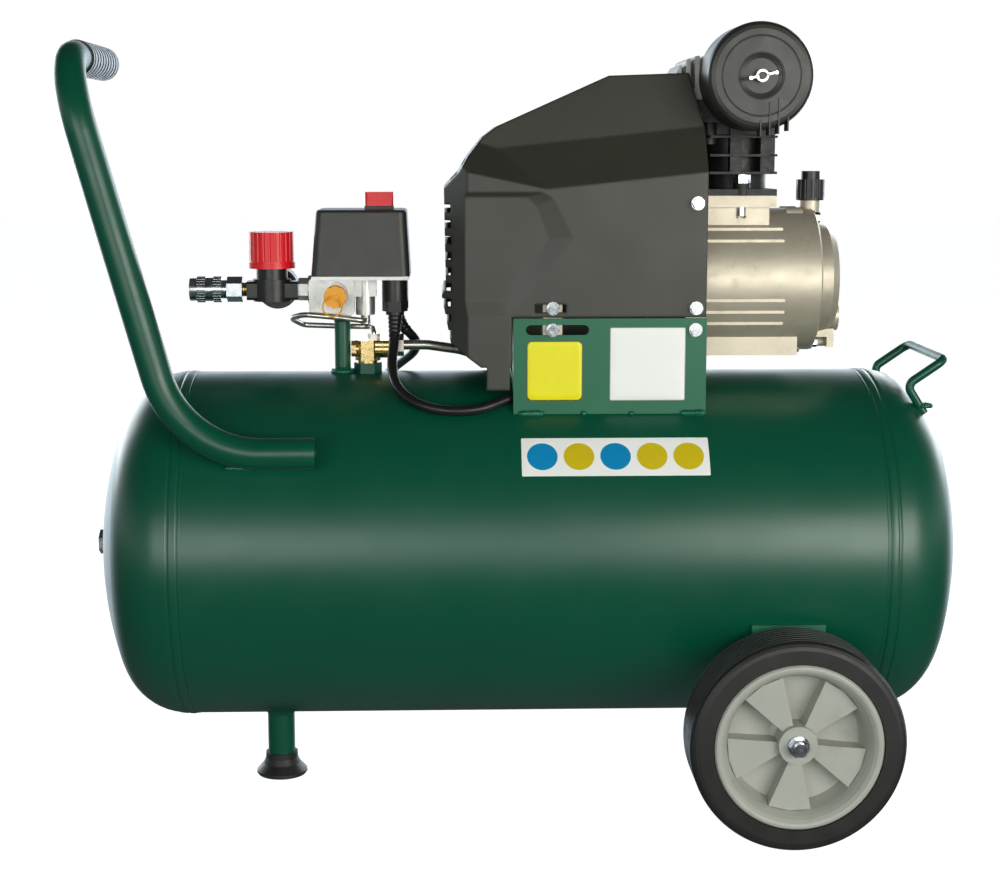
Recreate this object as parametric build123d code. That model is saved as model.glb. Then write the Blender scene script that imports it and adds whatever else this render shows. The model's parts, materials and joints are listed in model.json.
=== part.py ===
from build123d import *
import math
import os

# A wheeled workshop air compressor, in millimetres.
# +X runs along the tank from the push handle to the wheels, +Y to the gauges, +Z up.
# The origin is on the floor, midway along, across and between the wheels.

# Driving dimensions: air tank
TANK_R = 150.0
TANK_WALL = 2.5
TANK_Z = 213.6
SHELL_X = (-285.0, 291.3)
HEAD_SKIRT = 9.0
HEAD_DEPTH = 72.3
HEAD_KNUCKLE = 54.0
TANK_TOP = TANK_Z + TANK_R
TANK_BOTTOM = TANK_Z - TANK_R

# Wheels, leg and foot
WHEEL_R = 86.7
WHEEL_X = 210.5
RIM_R = 67.7
RIM_INNER_R = 55.0
TYRE_Y = (152.0, 204.0)
HUB_Y = (149.5, 198.0)
AXLE_R = 8.0
RUNNING_GAP = 0.05
BRACKET_Y = (143.3, 147.3)
LEG_X = -217.8
LEG_R = 12.0

# Handles
HANDLE_R = 13.0
HANDLE_WALL = 2.0
HANDLE_Y = 129.0
HANDLE_LOW_Z = 313.0
HANDLE_END_X = -174.0
HANDLE_KNEE_X = -282.7
GRIP_X, GRIP_Z = -368.6, 629.6
GRIP_HALF = 57.0
GRIP_R = 14.6
LIFT_ROD_R = 3.8
LIFT_Y = 61.4

# Pump and motor
AXIS_Z = 444.0
CASE_R = 61.5
CASE_X = (100.0, 238.0)
STATOR_X = (30.0, 100.0)
STATOR_R = 60.0
SHIELD_X = (-18.0, 30.0)
ROTOR_R = 35.0
SHAFT_R = 8.5
JOURNAL_R = 10.0
CYLINDER_X = 180.0
BORE_R = 23.5
THROW = 19.0
ROD_LENGTH = 96.0
DECK_Z = 517.0
CYLINDER_TOP = 578.0
PLATE_TOP = 582.0
HEAD_TOP = 633.0
ROD_X = (172.0, 188.0)
COVER_BOLT_ANGLES = (75, 105, 255, 285)
COVER_BOLT_R = 55.5
PIPE_R = 4.3
PIPE_END = (128, 20, 600)

# Sheet bracket, its bolts, and the shroud over the motor
CHEEK_X = (-12.5, 148.0)
CHEEK_Y = (81.0, 84.0)
CHEEK_TOP = 417.5
BOLT_X = (20.0, 138.5)
BOLT_Z = 408.0
EAR_Y = 81.0
SHROUD_Y = 86.0
SHROUD_WALL = 2.5
SHOULDER_Y = 58.0
RIDGE_Y = 46.0
SCREW_Z = 426.0
HIGH_SCREW_Z = 512.0

# Air filter, seen end on from the near side
FILTER_X, FILTER_Z = 187.0, 614.3
FILTER_R = 43.5
FILTER_Y = (-95.0, -41.5)
FILTER_SPLIT = -62.0
# Thin ribs at the foot of the cover: sideways from its middle, and their two ends below it
FILTER_PRONGS = ((0, 36, 48.6), (7.3, 21, 47.4), (14.7, 17.7, 46.4), (22.3, 32.6, 44))

# Switch, regulator and outlet, in line above the tank
LINE_Z = 436.0
POST_X = -158.2
VALVE_X = -136.4
SWITCH_X = (-182.5, -98.5)
SWITCH_TOP_X = (-178.0, -101.5)
SWITCH_Z = (449.0, 505.0)
KNOB_X = -125.0
REGULATOR_X = -218.5
GAUGE_R = 18.0
SAFETY_X, SAFETY_Z = -162.0, 432.0
GLAND_X = -112.0
GLAND_Y = (-14.0, 14.0)
GLAND_BOTTOM = 415.0
CORD_R = 4.25
GAUGES = {"tank": (SAFETY_X, 31.5, SAFETY_Z), "outlet": (REGULATOR_X + 2.5, 18.0, LINE_Z - 1)}


def block(x, y, z):
    size = [high - low for low, high in (x, y, z)]
    middle = [(high + low) / 2 for low, high in (x, y, z)]
    return Pos(*middle) * Box(*size)


def along(axis, place):
    """A location whose Z runs along a row axis."""
    turn = {"x": Rot(0, 90, 0), "y": Rot(-90, 0, 0), "z": Rot(0, 0, 0)}[axis]
    return Pos(*place) * turn


def spot(axis, start, a, b):
    """Coordinates from a distance along an axis and the other two in X, Y, Z order."""
    return {"x": (start, a, b), "y": (a, start, b), "z": (a, b, start)}[axis]


def rod(axis, radius, span, a, b):
    low, high = span
    base = Cylinder(radius, high - low, align=(Align.CENTER, Align.CENTER, Align.MIN))
    return along(axis, spot(axis, low, a, b)) * base


def ring(axis, outer, inner, span, a, b):
    return rod(axis, outer, span, a, b) - rod(axis, inner, span, a, b)


def hexagon(axis, across_flats, span, a, b):
    low, high = span
    outline = RegularPolygon(across_flats / 2, 6, major_radius=False)
    return along(axis, spot(axis, low, a, b)) * extrude(outline, high - low)


def turned(axis, outline, a=0.0, b=0.0):
    """A solid of revolution from (distance along the axis, radius) points."""
    points = [(radius, 0, distance) for distance, radius in outline]
    profile = make_face(Polyline(*points, close=True))
    return along(axis, spot(axis, 0, a, b)) * revolve(profile, Axis.Z, 360)


def plate(points, y):
    """A flat outline in X and Z, extruded between two Y planes."""
    low, high = y
    outline = make_face(Polyline(*[(px, low, pz) for px, pz in points], close=True))
    return extrude(outline, amount=high - low, dir=(0, 1, 0))


def bent_rod(points, radius, bends):
    path = FilletPolyline(*points, radius=bends)
    start = Plane(origin=path @ 0, z_dir=path % 0)
    return sweep(start * Circle(radius), path=path)


def both_sides(shape):
    return shape + mirror(shape, Plane.XZ)


def tank_body(inset):
    """The whole tank as one solid of revolution with dished ends: a shallow crown and a knuckle."""
    low, high = SHELL_X[0] - HEAD_SKIRT, SHELL_X[1] + HEAD_SKIRT
    radius, depth, knuckle = TANK_R - inset, HEAD_DEPTH - inset, HEAD_KNUCKLE - inset
    rise = radius - knuckle
    crown = (depth ** 2 + rise ** 2 - knuckle ** 2) / (2 * (depth - knuckle))
    sweep_angle = math.degrees(math.atan2(rise, crown - depth))
    with BuildPart() as body:
        with BuildSketch(Plane.XZ):
            with BuildLine():
                Line((low - depth, 0), (high + depth, 0))
                CenterArc((high + depth - crown, 0), crown, 0, sweep_angle)
                CenterArc((high, rise), knuckle, sweep_angle, 90 - sweep_angle)
                Line((high, radius), (low, radius))
                CenterArc((low, rise), knuckle, 90, 90 - sweep_angle)
                CenterArc((low - depth + crown, 0), crown, 180 - sweep_angle, sweep_angle)
            make_face()
        revolve(axis=Axis.X)
    return Pos(0, 0, TANK_Z) * body.part


TANK_OUTSIDE = tank_body(0)
TANK_INSIDE = tank_body(TANK_WALL)


def tank_shell():
    barrel = ring("x", TANK_R, TANK_R - TANK_WALL, SHELL_X, 0, TANK_Z)
    boss = hexagon("z", 21, (TANK_TOP - 3.5, 372), VALVE_X, 0)
    drain = rod("z", 12, (TANK_BOTTOM - 8, TANK_BOTTOM + 3), WHEEL_X, 0)
    shell = barrel + (boss + drain - TANK_INSIDE)
    shell -= rod("z", 7, (TANK_TOP - 12, TANK_TOP + 20), POST_X, 0)
    shell -= rod("z", 6, (TANK_TOP - 12, TANK_TOP + 20), VALVE_X, 0)
    return shell - rod("z", 5.05, (TANK_BOTTOM - 12, TANK_BOTTOM + 8), WHEEL_X, 0)


def tank_heads():
    skin = TANK_OUTSIDE - TANK_INSIDE
    front = skin & block((-400, SHELL_X[0]), (-160, 160), (50, 380))
    rear = skin & block((SHELL_X[1], 400), (-160, 160), (50, 380))
    apex = SHELL_X[0] - HEAD_SKIRT - HEAD_DEPTH
    front += rod("x", 15, (apex - 1.5, apex + 6), 0, TANK_Z) - TANK_INSIDE
    front -= rod("x", 7, (apex - 4, apex + 12), 0, TANK_Z)
    return front + rear


def inspection_plug():
    apex = SHELL_X[0] - HEAD_SKIRT - HEAD_DEPTH
    return hexagon("x", 19, (apex - 7.5, apex - 1.5), 0, TANK_Z) + rod("x", 7, (apex - 1.5, apex + 8), 0, TANK_Z)


def drain_screw():
    stem = rod("z", 5, (TANK_BOTTOM - 14, TANK_BOTTOM + 4), WHEEL_X, 0)
    collar = rod("z", 8, (TANK_BOTTOM - 14, TANK_BOTTOM - 8.2), WHEEL_X, 0)
    wings = block((WHEEL_X - 13, WHEEL_X + 13), (-1.5, 1.5), (TANK_BOTTOM - 24, TANK_BOTTOM - 14))
    return stem + collar + wings


def front_leg():
    leg = ring("z", LEG_R, LEG_R - 2, (5, TANK_BOTTOM + 6), LEG_X, 0)
    weld = turned("z", [(56, LEG_R - 1), (56, LEG_R), (TANK_BOTTOM + 2, LEG_R + 5), (TANK_BOTTOM + 2, LEG_R - 1)],
                  LEG_X, 0)
    return leg + weld - TANK_OUTSIDE


def front_foot():
    outline = [(0, 0), (0, 21.5), (1.5, 22.6), (3.5, 22.4), (10, 16.5), (15, 14.4), (20, 14.2),
               (20, LEG_R), (5, LEG_R), (5, 0)]
    return turned("z", outline, LEG_X, 0)


def push_handle():
    """One bent tube from the near side, which carries its grip over the middle of the tank."""
    points = [(HANDLE_END_X, -HANDLE_Y, HANDLE_LOW_Z), (HANDLE_KNEE_X, -HANDLE_Y, HANDLE_LOW_Z),
              (GRIP_X, -HANDLE_Y, GRIP_Z), (GRIP_X, GRIP_HALF, GRIP_Z)]
    tube = bent_rod(points, HANDLE_R, [85, 62]) - bent_rod(points, HANDLE_R - HANDLE_WALL, [85, 62])
    return tube - TANK_OUTSIDE


def handle_grip():
    """A ribbed sleeve, closed over the tube's free end."""
    ribs = 9
    pitch = 2 * (GRIP_HALF - 5) / ribs
    grip = ring("y", GRIP_R - 1, HANDLE_R, (-GRIP_HALF, GRIP_HALF), GRIP_X, GRIP_Z)
    grip += ring("y", GRIP_R, HANDLE_R, (-GRIP_HALF, -GRIP_HALF + 4), GRIP_X, GRIP_Z)
    grip += ring("y", GRIP_R, HANDLE_R, (GRIP_HALF - 4, GRIP_HALF), GRIP_X, GRIP_Z)
    end = rod("y", GRIP_R, (GRIP_HALF, GRIP_HALF + 3), GRIP_X, GRIP_Z)
    grip += fillet(end.edges().filter_by(GeomType.CIRCLE).sort_by(Axis.Y)[-1], 2.5)
    for i in range(ribs):
        start = -GRIP_HALF + 5 + (i + 0.28) * pitch
        grip += ring("y", GRIP_R, HANDLE_R, (start, start + pitch * 0.6), GRIP_X, GRIP_Z)
    return grip


def lift_handle():
    near = [(338, -LIFT_Y, 334), (322.5, -LIFT_Y, 358.2), (354.4, -LIFT_Y, 380)]
    points = near + [(x, -y, z) for x, y, z in reversed(near)]
    return bent_rod(points, LIFT_ROD_R, [7, 9, 9, 7]) - TANK_OUTSIDE


def axle_brackets():
    width = 30.5
    web = plate([(WHEEL_X - width, 172), (WHEEL_X + width, 172), (WHEEL_X + 20, WHEEL_R - 10),
                 (WHEEL_X + 10, WHEEL_R - 20), (WHEEL_X - 10, WHEEL_R - 20), (WHEEL_X - 20, WHEEL_R - 10)],
                BRACKET_Y)
    inner, outer = BRACKET_Y
    for side in (-1, 1):
        edge = WHEEL_X + side * width
        web += plate([(edge, 172), (edge - side * 4, 172), (edge - side * 7.5, 112), (edge - side * 3.5, 112)],
                     (85, inner + 1))
    web -= rod("y", AXLE_R, BRACKET_Y, WHEEL_X, WHEEL_R)
    return both_sides(web - TANK_OUTSIDE)


def sector(radii, angles, y):
    inner, outer = radii
    low, high = (math.radians(a) for a in angles)
    points = [(radius * math.cos(a), radius * math.sin(a))
              for radius, a in ((inner, low), (outer, low), (outer, (low + high) / 2), (outer, high), (inner, high))]
    return plate([(WHEEL_X + px, WHEEL_R + pz) for px, pz in points], y)


def rim():
    """The near wheel's centre: hub, dished web, band and five raised wedges."""
    inner, outer = HUB_Y
    face = TYRE_Y[1]
    outline = [(-inner, 0), (-inner, 17), (-168, 17), (-168, RIM_INNER_R), (-155, RIM_INNER_R + 3),
               (-153.5, RIM_R - 2), (-155, RIM_R), (-face + 1, RIM_R), (-face - 0.6, RIM_R - 1.2),
               (-face - 1, RIM_R - 3), (-face - 0.4, RIM_R - 5), (-face + 2, RIM_R - 7.5), (-face + 6, RIM_R - 9.6),
               (-face + 11, RIM_R - 11.4), (-face + 17, RIM_R - 12.6), (-face + 27, RIM_R - 15),
               (-face + 29, 20), (-face + 27, 15.6), (-outer, 15.6), (-outer, 0)]
    body = turned("y", outline, WHEEL_X, WHEEL_R)
    wedges = 5
    for i in range(wedges):
        middle = 49 + i * 360 / wedges
        body += sector((13, RIM_INNER_R + 1), (middle - 18, middle + 18), (-192, -172))
        body += sector((15, RIM_INNER_R + 1), (middle + 33, middle + 39), (-170, -156))
    return body - rod("y", AXLE_R + RUNNING_GAP, (-outer - 1, -inner + 1), WHEEL_X, WHEEL_R)


def tyre():
    inner, outer = TYRE_Y
    crown = [(-inner, RIM_R), (-inner, 80), (-inner - 1.8, WHEEL_R - 1.8), (-inner - 4, WHEEL_R - 0.6)]
    grooves = 7
    pitch = (outer - inner - 12) / grooves
    for i in range(grooves + 1):
        start = inner + 6 + i * pitch
        crown += [(-start + 0.9, WHEEL_R), (-start + 0.5, WHEEL_R - 1.2), (-start - 0.5, WHEEL_R - 1.2),
                  (-start - 0.9, WHEEL_R)]
    crown += [(-outer + 4, WHEEL_R - 0.6), (-outer + 1.8, WHEEL_R - 1.8), (-outer + 0.5, WHEEL_R - 4),
              (-outer, WHEEL_R - 7), (-outer, RIM_R + 1), (-outer + 2, RIM_R)]
    return turned("y", crown, WHEEL_X, WHEEL_R)


def wheel_bolts():
    inner, outer = BRACKET_Y
    hub_end = HUB_Y[1]
    bolt = rod("y", AXLE_R, (-hub_end - 2.5, -inner), WHEEL_X, WHEEL_R)
    bolt += rod("y", 5, (-inner, -inner + 14), WHEEL_X, WHEEL_R)
    bolt += rod("y", 8.6, (-hub_end - 2, -hub_end - 0.3), WHEEL_X, WHEEL_R)
    bolt += hexagon("y", 13.5, (-hub_end - 8, -hub_end - 2), WHEEL_X, WHEEL_R)
    bolt += rod("y", 5, (-hub_end - 10.5, -hub_end - 8), WHEEL_X, WHEEL_R)
    spacer = ring("y", 11, AXLE_R, (-HUB_Y[0] + 0.3, -outer), WHEEL_X, WHEEL_R)
    nut = ring("y", 11, 5, (-inner, -inner + 2), WHEEL_X, WHEEL_R)
    nut += hexagon("y", 17, (-inner + 2, -inner + 10), WHEEL_X, WHEEL_R)
    nut -= rod("y", 5, (-inner, -inner + 12), WHEEL_X, WHEEL_R)
    return [both_sides(bolt), both_sides(spacer), both_sides(nut)]


def pump_bracket():
    """Two sheet cheeks joined by a floor, with turned-in ends, welded to the tank."""
    left, right = CHEEK_X
    inner, outer = CHEEK_Y
    cheek = block(CHEEK_X, (-outer, -inner), (330, CHEEK_TOP))
    flange = block((left, left + 3), (-inner - 1, -62), (330, CHEEK_TOP - 8))
    flange += block((right - 3, right), (-inner - 1, -68), (330, 395))
    flange -= rod("x", 7, (left - 1, left + 4), -72.4, 351.2)
    bridge = block((left, right), (-inner, 0.01), (TANK_TOP + 1, TANK_TOP + 4))
    bridge += block((left, right), (-40, 0.01), (TANK_TOP - 8, TANK_TOP + 1))
    side = cheek + flange + bridge
    slot = block((BOLT_X[0] - 18, BOLT_X[0] + 26), (-outer - 1, -inner + 1), (BOLT_Z - 4.2, BOLT_Z + 4.2))
    slot += rod("y", 4.2, (-outer - 1, -inner + 1), BOLT_X[0] - 18, BOLT_Z)
    slot += rod("y", 4.2, (-outer - 1, -inner + 1), BOLT_X[0] + 26, BOLT_Z)
    side -= slot + rod("y", 4.2, (-outer - 1, -inner + 1), BOLT_X[1], BOLT_Z)
    return both_sides(side) - TANK_OUTSIDE


def hex_bolt(x, z, face):
    """A flanged hexagon bolt through a sheet, its head towards -Y."""
    bolt = rod("y", 5.6, (face - 1.4, face), x, z)
    bolt += hexagon("y", 8.6, (face - 5.5, face - 1.4), x, z)
    return bolt + rod("y", 2.9, (face, face + 18), x, z)


def hex_bolts():
    """Bolts of the bracket, the shroud and the crankcase cover."""
    near = [hex_bolt(x, BOLT_Z, -CHEEK_Y[1]) for x in BOLT_X]
    near += [hex_bolt(x, SCREW_Z, -SHROUD_Y) for x in BOLT_X]
    near += [hex_bolt(BOLT_X[1], HIGH_SCREW_Z, -SHROUD_Y)]
    bolts = near + [mirror(bolt, Plane.XZ) for bolt in near]
    for angle in COVER_BOLT_ANGLES:
        y = COVER_BOLT_R * math.cos(math.radians(angle))
        z = AXIS_Z + COVER_BOLT_R * math.sin(math.radians(angle))
        bolts.append(rod("x", 2.5, (235, 249), y, z) + hexagon("x", 8, (249, 254), y, z))
    return bolts


def ears(x, wall_r):
    """Feet that reach out to both cheeks and carry the shroud's lower screws."""
    ear = block((x - 8, x + 8), (-EAR_Y, -44), (BOLT_Z - 9, SCREW_Z + 8))
    ear -= rod("y", 3.3, (-EAR_Y - 1, -64), x, BOLT_Z)
    ear -= rod("y", 3.0, (-EAR_Y - 1, -64), x, SCREW_Z)
    return both_sides(ear) - rod("x", wall_r, (x - 20, x + 20), 0, AXIS_Z)


def crankcase():
    left, right = CASE_X
    case = rod("x", CASE_R, CASE_X, 0, AXIS_Z)
    case += block((150, 206), (-38, 38), (470, 508)) + block((147.5, 211), (-44, 44), (507.5, DECK_Z))
    case += block((112, 232), (-40, 40), (AXIS_Z - CASE_R - 1, 400))
    for rise in (45, 35.5, -14, -24, -34):
        half = math.sqrt(CASE_R ** 2 - rise ** 2) + 1.4
        case += block((146, 217), (-half, half), (AXIS_Z + rise - 1.2, AXIS_Z + rise + 1.2))
    lug = block((BOLT_X[1] - 8, BOLT_X[1] + 7), (-SHROUD_Y + SHROUD_WALL, -20), (HIGH_SCREW_Z - 8, HIGH_SCREW_Z + 7))
    lug -= rod("y", 3.0, (-SHROUD_Y, -66), BOLT_X[1], HIGH_SCREW_Z)
    stem = block((BOLT_X[1] - 8, BOLT_X[1] + 7), (-44, -20), (470, HIGH_SCREW_Z))
    case += both_sides(lug + stem)
    case += ears(BOLT_X[1], 56)
    case -= rod("x", 55.5, (154, right), 0, AXIS_Z)
    case -= rod("x", 56, (left, 134), 0, AXIS_Z)
    case -= rod("x", 23.5, (133, 155), 0, AXIS_Z)
    case -= rod("z", 29, (AXIS_Z, DECK_Z + 1), CYLINDER_X, 0)
    for side in (-1, 1):
        case -= rod("z", 4, (498, DECK_Z), CYLINDER_X + 2, side * 38)
    for angle in COVER_BOLT_ANGLES:
        y = 58.5 * math.cos(math.radians(angle))
        z = AXIS_Z + 58.5 * math.sin(math.radians(angle))
        case += rod("x", 6, (224, right), y, z) & rod("x", CASE_R + 3, (220, right), 0, AXIS_Z)
    for angle in COVER_BOLT_ANGLES:
        y = COVER_BOLT_R * math.cos(math.radians(angle))
        z = AXIS_Z + COVER_BOLT_R * math.sin(math.radians(angle))
        case -= rod("x", 2.5, (234, right), y, z)
    return case


def crankcase_cover():
    right = CASE_X[1]
    outline = [(right, 0), (right, CASE_R), (right + 9.5, CASE_R), (right + 11, CASE_R - 1.5), (right + 11, 49),
               (right + 23, 46.5), (right + 29, 42), (right + 32.5, 26), (right + 33.5, 0)]
    cover = turned("x", outline, 0, AXIS_Z)
    cover += block((248, 268), (-19, 19), (386, 402)) + rod("x", 13, (248, 273.5), 0, 412)
    for angle in COVER_BOLT_ANGLES:
        y = COVER_BOLT_R * math.cos(math.radians(angle))
        z = AXIS_Z + COVER_BOLT_R * math.sin(math.radians(angle))
        cover += rod("x", 6.2, (right, 249), y, z)
        cover -= rod("x", 2.5, (right - 1, 249), y, z)
        cover -= rod("x", 6.5, (249, 262), y, z)
    cover += rod("z", 8.8, (490, 512), 248, 0)
    inside = [(right - 1, 0), (right - 1, 50), (right + 13, 44), (right + 24, 38), (right + 28.5, 22), (right + 29.5, 0)]
    cover -= turned("x", inside, 0, AXIS_Z)
    cover -= rod("x", 9.6, (265.5, 274.5), 0, 412)
    return cover - rod("z", 6.1, (480, 513), 248, 0)


def sight_glass():
    return rod("x", 9.6, (267.5, 274), 0, 412)


def oil_cap():
    cap = rod("z", 12.2, (512.2, 530), 248, 0) + rod("z", 8.3, (530, 537.2), 248, 0)
    cap += rod("z", 6.0, (500, 512.2), 248, 0)
    flutes = 18
    for i in range(flutes):
        angle = i * 2 * math.pi / flutes
        cap -= rod("z", 1.0, (514, 531), 248 + 12.6 * math.cos(angle), 12.6 * math.sin(angle))
    return cap


def cylinder():
    barrel = block((147.5, 211), (-44, 44), (DECK_Z, 522.5)) + rod("z", 28.5, (DECK_Z, CYLINDER_TOP), CYLINDER_X, 0)
    for side in (-1, 1):
        barrel += rod("z", 7, (DECK_Z, 527.5), CYLINDER_X + 2, side * 38)
        barrel -= rod("z", 4.1, (DECK_Z - 1, 528), CYLINDER_X + 2, side * 38)
    side_walls = block((171.5, 181), (-39.5, -20), (535, CYLINDER_TOP))
    side_walls += block((197.5, 209.5), (-38, 0.01), (535, CYLINDER_TOP))
    side_walls += rod("z", 6.5, (560, CYLINDER_TOP), 154.5, -31) + block((150, 209.5), (-33, 0.01), (568, CYLINDER_TOP))
    barrel += both_sides(side_walls)
    fins = [535.0, 549.7, 565.2]
    for height in fins:
        fin = block((147.5, 212.5), (-41, 41), (height, height + 2))
        barrel += chamfer(fin.edges().filter_by(Axis.Z), 7)
    for side in (-1, 1):
        for x in (154.5, 205.5):
            barrel -= rod("z", 3.1, (562, CYLINDER_TOP + 1), x, side * 31)
    return barrel - rod("z", BORE_R, (DECK_Z - 1, CYLINDER_TOP + 1), CYLINDER_X, 0)


def valve_plate():
    plate_body = block((148, 212), (-41, 41), (CYLINDER_TOP, PLATE_TOP))
    plate_body -= rod("z", 4, (CYLINDER_TOP - 1, PLATE_TOP + 1), CYLINDER_X - 12, 0)
    plate_body -= rod("z", 4, (CYLINDER_TOP - 1, PLATE_TOP + 1), CYLINDER_X + 10, 0)
    for side in (-1, 1):
        for x in (154.5, 205.5):
            plate_body -= rod("z", 3.1, (CYLINDER_TOP - 1, PLATE_TOP + 1), x, side * 31)
    return plate_body


def cylinder_head():
    head = block((124, 214), (-38, 38), (PLATE_TOP, HEAD_TOP))
    head = fillet(head.edges().filter_by(Axis.Y).group_by(Axis.Z)[-1], 22)
    fins = 12
    pitch = 90 / fins
    for i in range(fins - 1):
        middle = 124 + (i + 1) * pitch
        head -= block((middle - 1.9, middle + 1.9), (-40, 40), (606, HEAD_TOP + 1))
    head += block((172, 202), (-38, 38), (600, 622)) + block((124, 150), (6, 34), (590, 612))
    head -= block((129, 165), (-30, 30), (PLATE_TOP - 1, 597)) + block((170, 208), (-26, 26), (PLATE_TOP - 1, 597))
    head -= rod("y", 8, (-40, -20), FILTER_X, 611) + rod("x", PIPE_R, (123, 132), PIPE_END[1], PIPE_END[2])
    for side in (-1, 1):
        for x in (154.5, 205.5):
            head += rod("z", 7, (PLATE_TOP, 606), x, side * 31)
            head -= rod("z", 3.1, (PLATE_TOP - 1, HEAD_TOP + 1), x, side * 31)
            head -= rod("z", 6.5, (606, HEAD_TOP + 1), x, side * 31)
    return head


def head_bolts():
    """Four head bolts, and the two nuts that hold the cylinder on its studs."""
    bolts = []
    for side in (-1, 1):
        for x in (154.5, 205.5):
            bolts.append(rod("z", 3.0, (563, 606), x, side * 31) + hexagon("z", 10, (606, 612), x, side * 31))
        stud = rod("z", 4, (500, 535), CYLINDER_X + 2, side * 38)
        bolts.append(stud + hexagon("z", 13, (527.5, 534.4), CYLINDER_X + 2, side * 38))
    return bolts


def crankshaft():
    shaft = rod("x", SHAFT_R, (-56, 134), 0, AXIS_Z) + rod("x", JOURNAL_R, (134, 156), 0, AXIS_Z)
    web = rod("x", 34, (156, 166), 0, AXIS_Z) & block((156, 166), (-34, 34), (AXIS_Z - 34, AXIS_Z + 12))
    web += rod("x", 12, (156, 166), 0, AXIS_Z + THROW) + block((156, 166), (-12, 12), (AXIS_Z, AXIS_Z + THROW))
    pin = rod("x", 8, (166, ROD_X[0] - 2), 0, AXIS_Z + THROW)
    return shaft + web + pin


def connecting_rod():
    big_z, small_z = AXIS_Z + THROW, AXIS_Z + THROW + ROD_LENGTH
    left, right = ROD_X
    body = rod("x", 14, ROD_X, 0, big_z) + rod("x", 9.5, ROD_X, 0, small_z)
    body += block((left + 4, right - 4), (-5, 5), (big_z, small_z))
    body += block((left + 6, right - 6), (-2.5, 2.5), (big_z - 24, big_z - 10))
    body -= rod("x", 8 + RUNNING_GAP, (left - 1, right + 1), 0, big_z)
    return body - rod("x", 6 + RUNNING_GAP, (left - 1, right + 1), 0, small_z)


def piston():
    """Piston with its wrist pin, at the top of its stroke."""
    small_z = AXIS_Z + THROW + ROD_LENGTH
    skirt, crown = small_z - 15, small_z + 18
    body = rod("z", BORE_R - 0.03, (skirt, crown), CYLINDER_X, 0)
    for height in (small_z + 13, small_z + 8):
        body -= ring("z", BORE_R + 1, BORE_R - 0.8, (height - 0.8, height + 0.8), CYLINDER_X, 0)
    body -= rod("z", BORE_R - 4, (skirt - 1, small_z + 11), CYLINDER_X, 0)
    for side in (-1, 1):
        body += rod("x", 9, sorted((CYLINDER_X + side * 9.5, CYLINDER_X + side * 20)), 0, small_z)
    body -= rod("x", 6, (CYLINDER_X - 30, CYLINDER_X + 30), 0, small_z)
    pin = rod("x", 6, (CYLINDER_X - 20, CYLINDER_X + 20), 0, small_z)
    return [body, pin]


def bearings():
    rear = ring("x", 20, SHAFT_R + 0.03, (-20, -8), 0, AXIS_Z)
    front = ring("x", 23.5, JOURNAL_R + 0.03, (138, 152), 0, AXIS_Z)
    return [rear, front]


def stator():
    core = ring("x", STATOR_R, ROTOR_R + 0.5, STATOR_X, 0, AXIS_Z)
    left, right = STATOR_X
    front = ring("x", 54, 38, (right, right + 17), 0, AXIS_Z)
    rear = ring("x", 54, 38, (left - 17, left), 0, AXIS_Z)
    return [core, front, rear]


def rotor_core():
    return ring("x", ROTOR_R, SHAFT_R, (STATOR_X[0] - 3, STATOR_X[1] + 3), 0, AXIS_Z)


def motor_end_shield():
    left, right = SHIELD_X
    cup = rod("x", STATOR_R, SHIELD_X, 0, AXIS_Z) - rod("x", 56, (left + 7, right), 0, AXIS_Z)
    cup += rod("x", 25, (left - 4, left + 12), 0, AXIS_Z)
    cup -= rod("x", 20, (left - 5, left + 13), 0, AXIS_Z)
    vents = 8
    for i in range(vents):
        angle = (i + 0.5) * 2 * math.pi / vents
        cup -= rod("x", 8, (left - 1, left + 8), 41 * math.cos(angle), AXIS_Z + 41 * math.sin(angle))
    return cup + ears(BOLT_X[0], 56)


def cooling_fan():
    fan = ring("x", 15, SHAFT_R, (-54, -34), 0, AXIS_Z) + ring("x", 53, SHAFT_R, (-38, -36), 0, AXIS_Z)
    blades = 9
    for i in range(blades):
        blade = block((-52, -37), (-1, 1), (14, 53))
        fan += Pos(0, 0, AXIS_Z) * Rot(i * 360 / blades, 0, 0) * blade
    return fan


def capacitor():
    return rod("x", 19, (2, 74), -18, 534) + rod("x", 21, (68, 78), -18, 534)


def beyond(point, normal, side):
    """Everything on the outer side of a plane."""
    outward = normal if normal.dot(Vector(-0.2, side, 0.4)) > 0 else normal * -1
    return Plane(origin=point, z_dir=outward) * Box(900, 900, 200, align=(Align.CENTER, Align.CENTER, Align.MIN))


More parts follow.
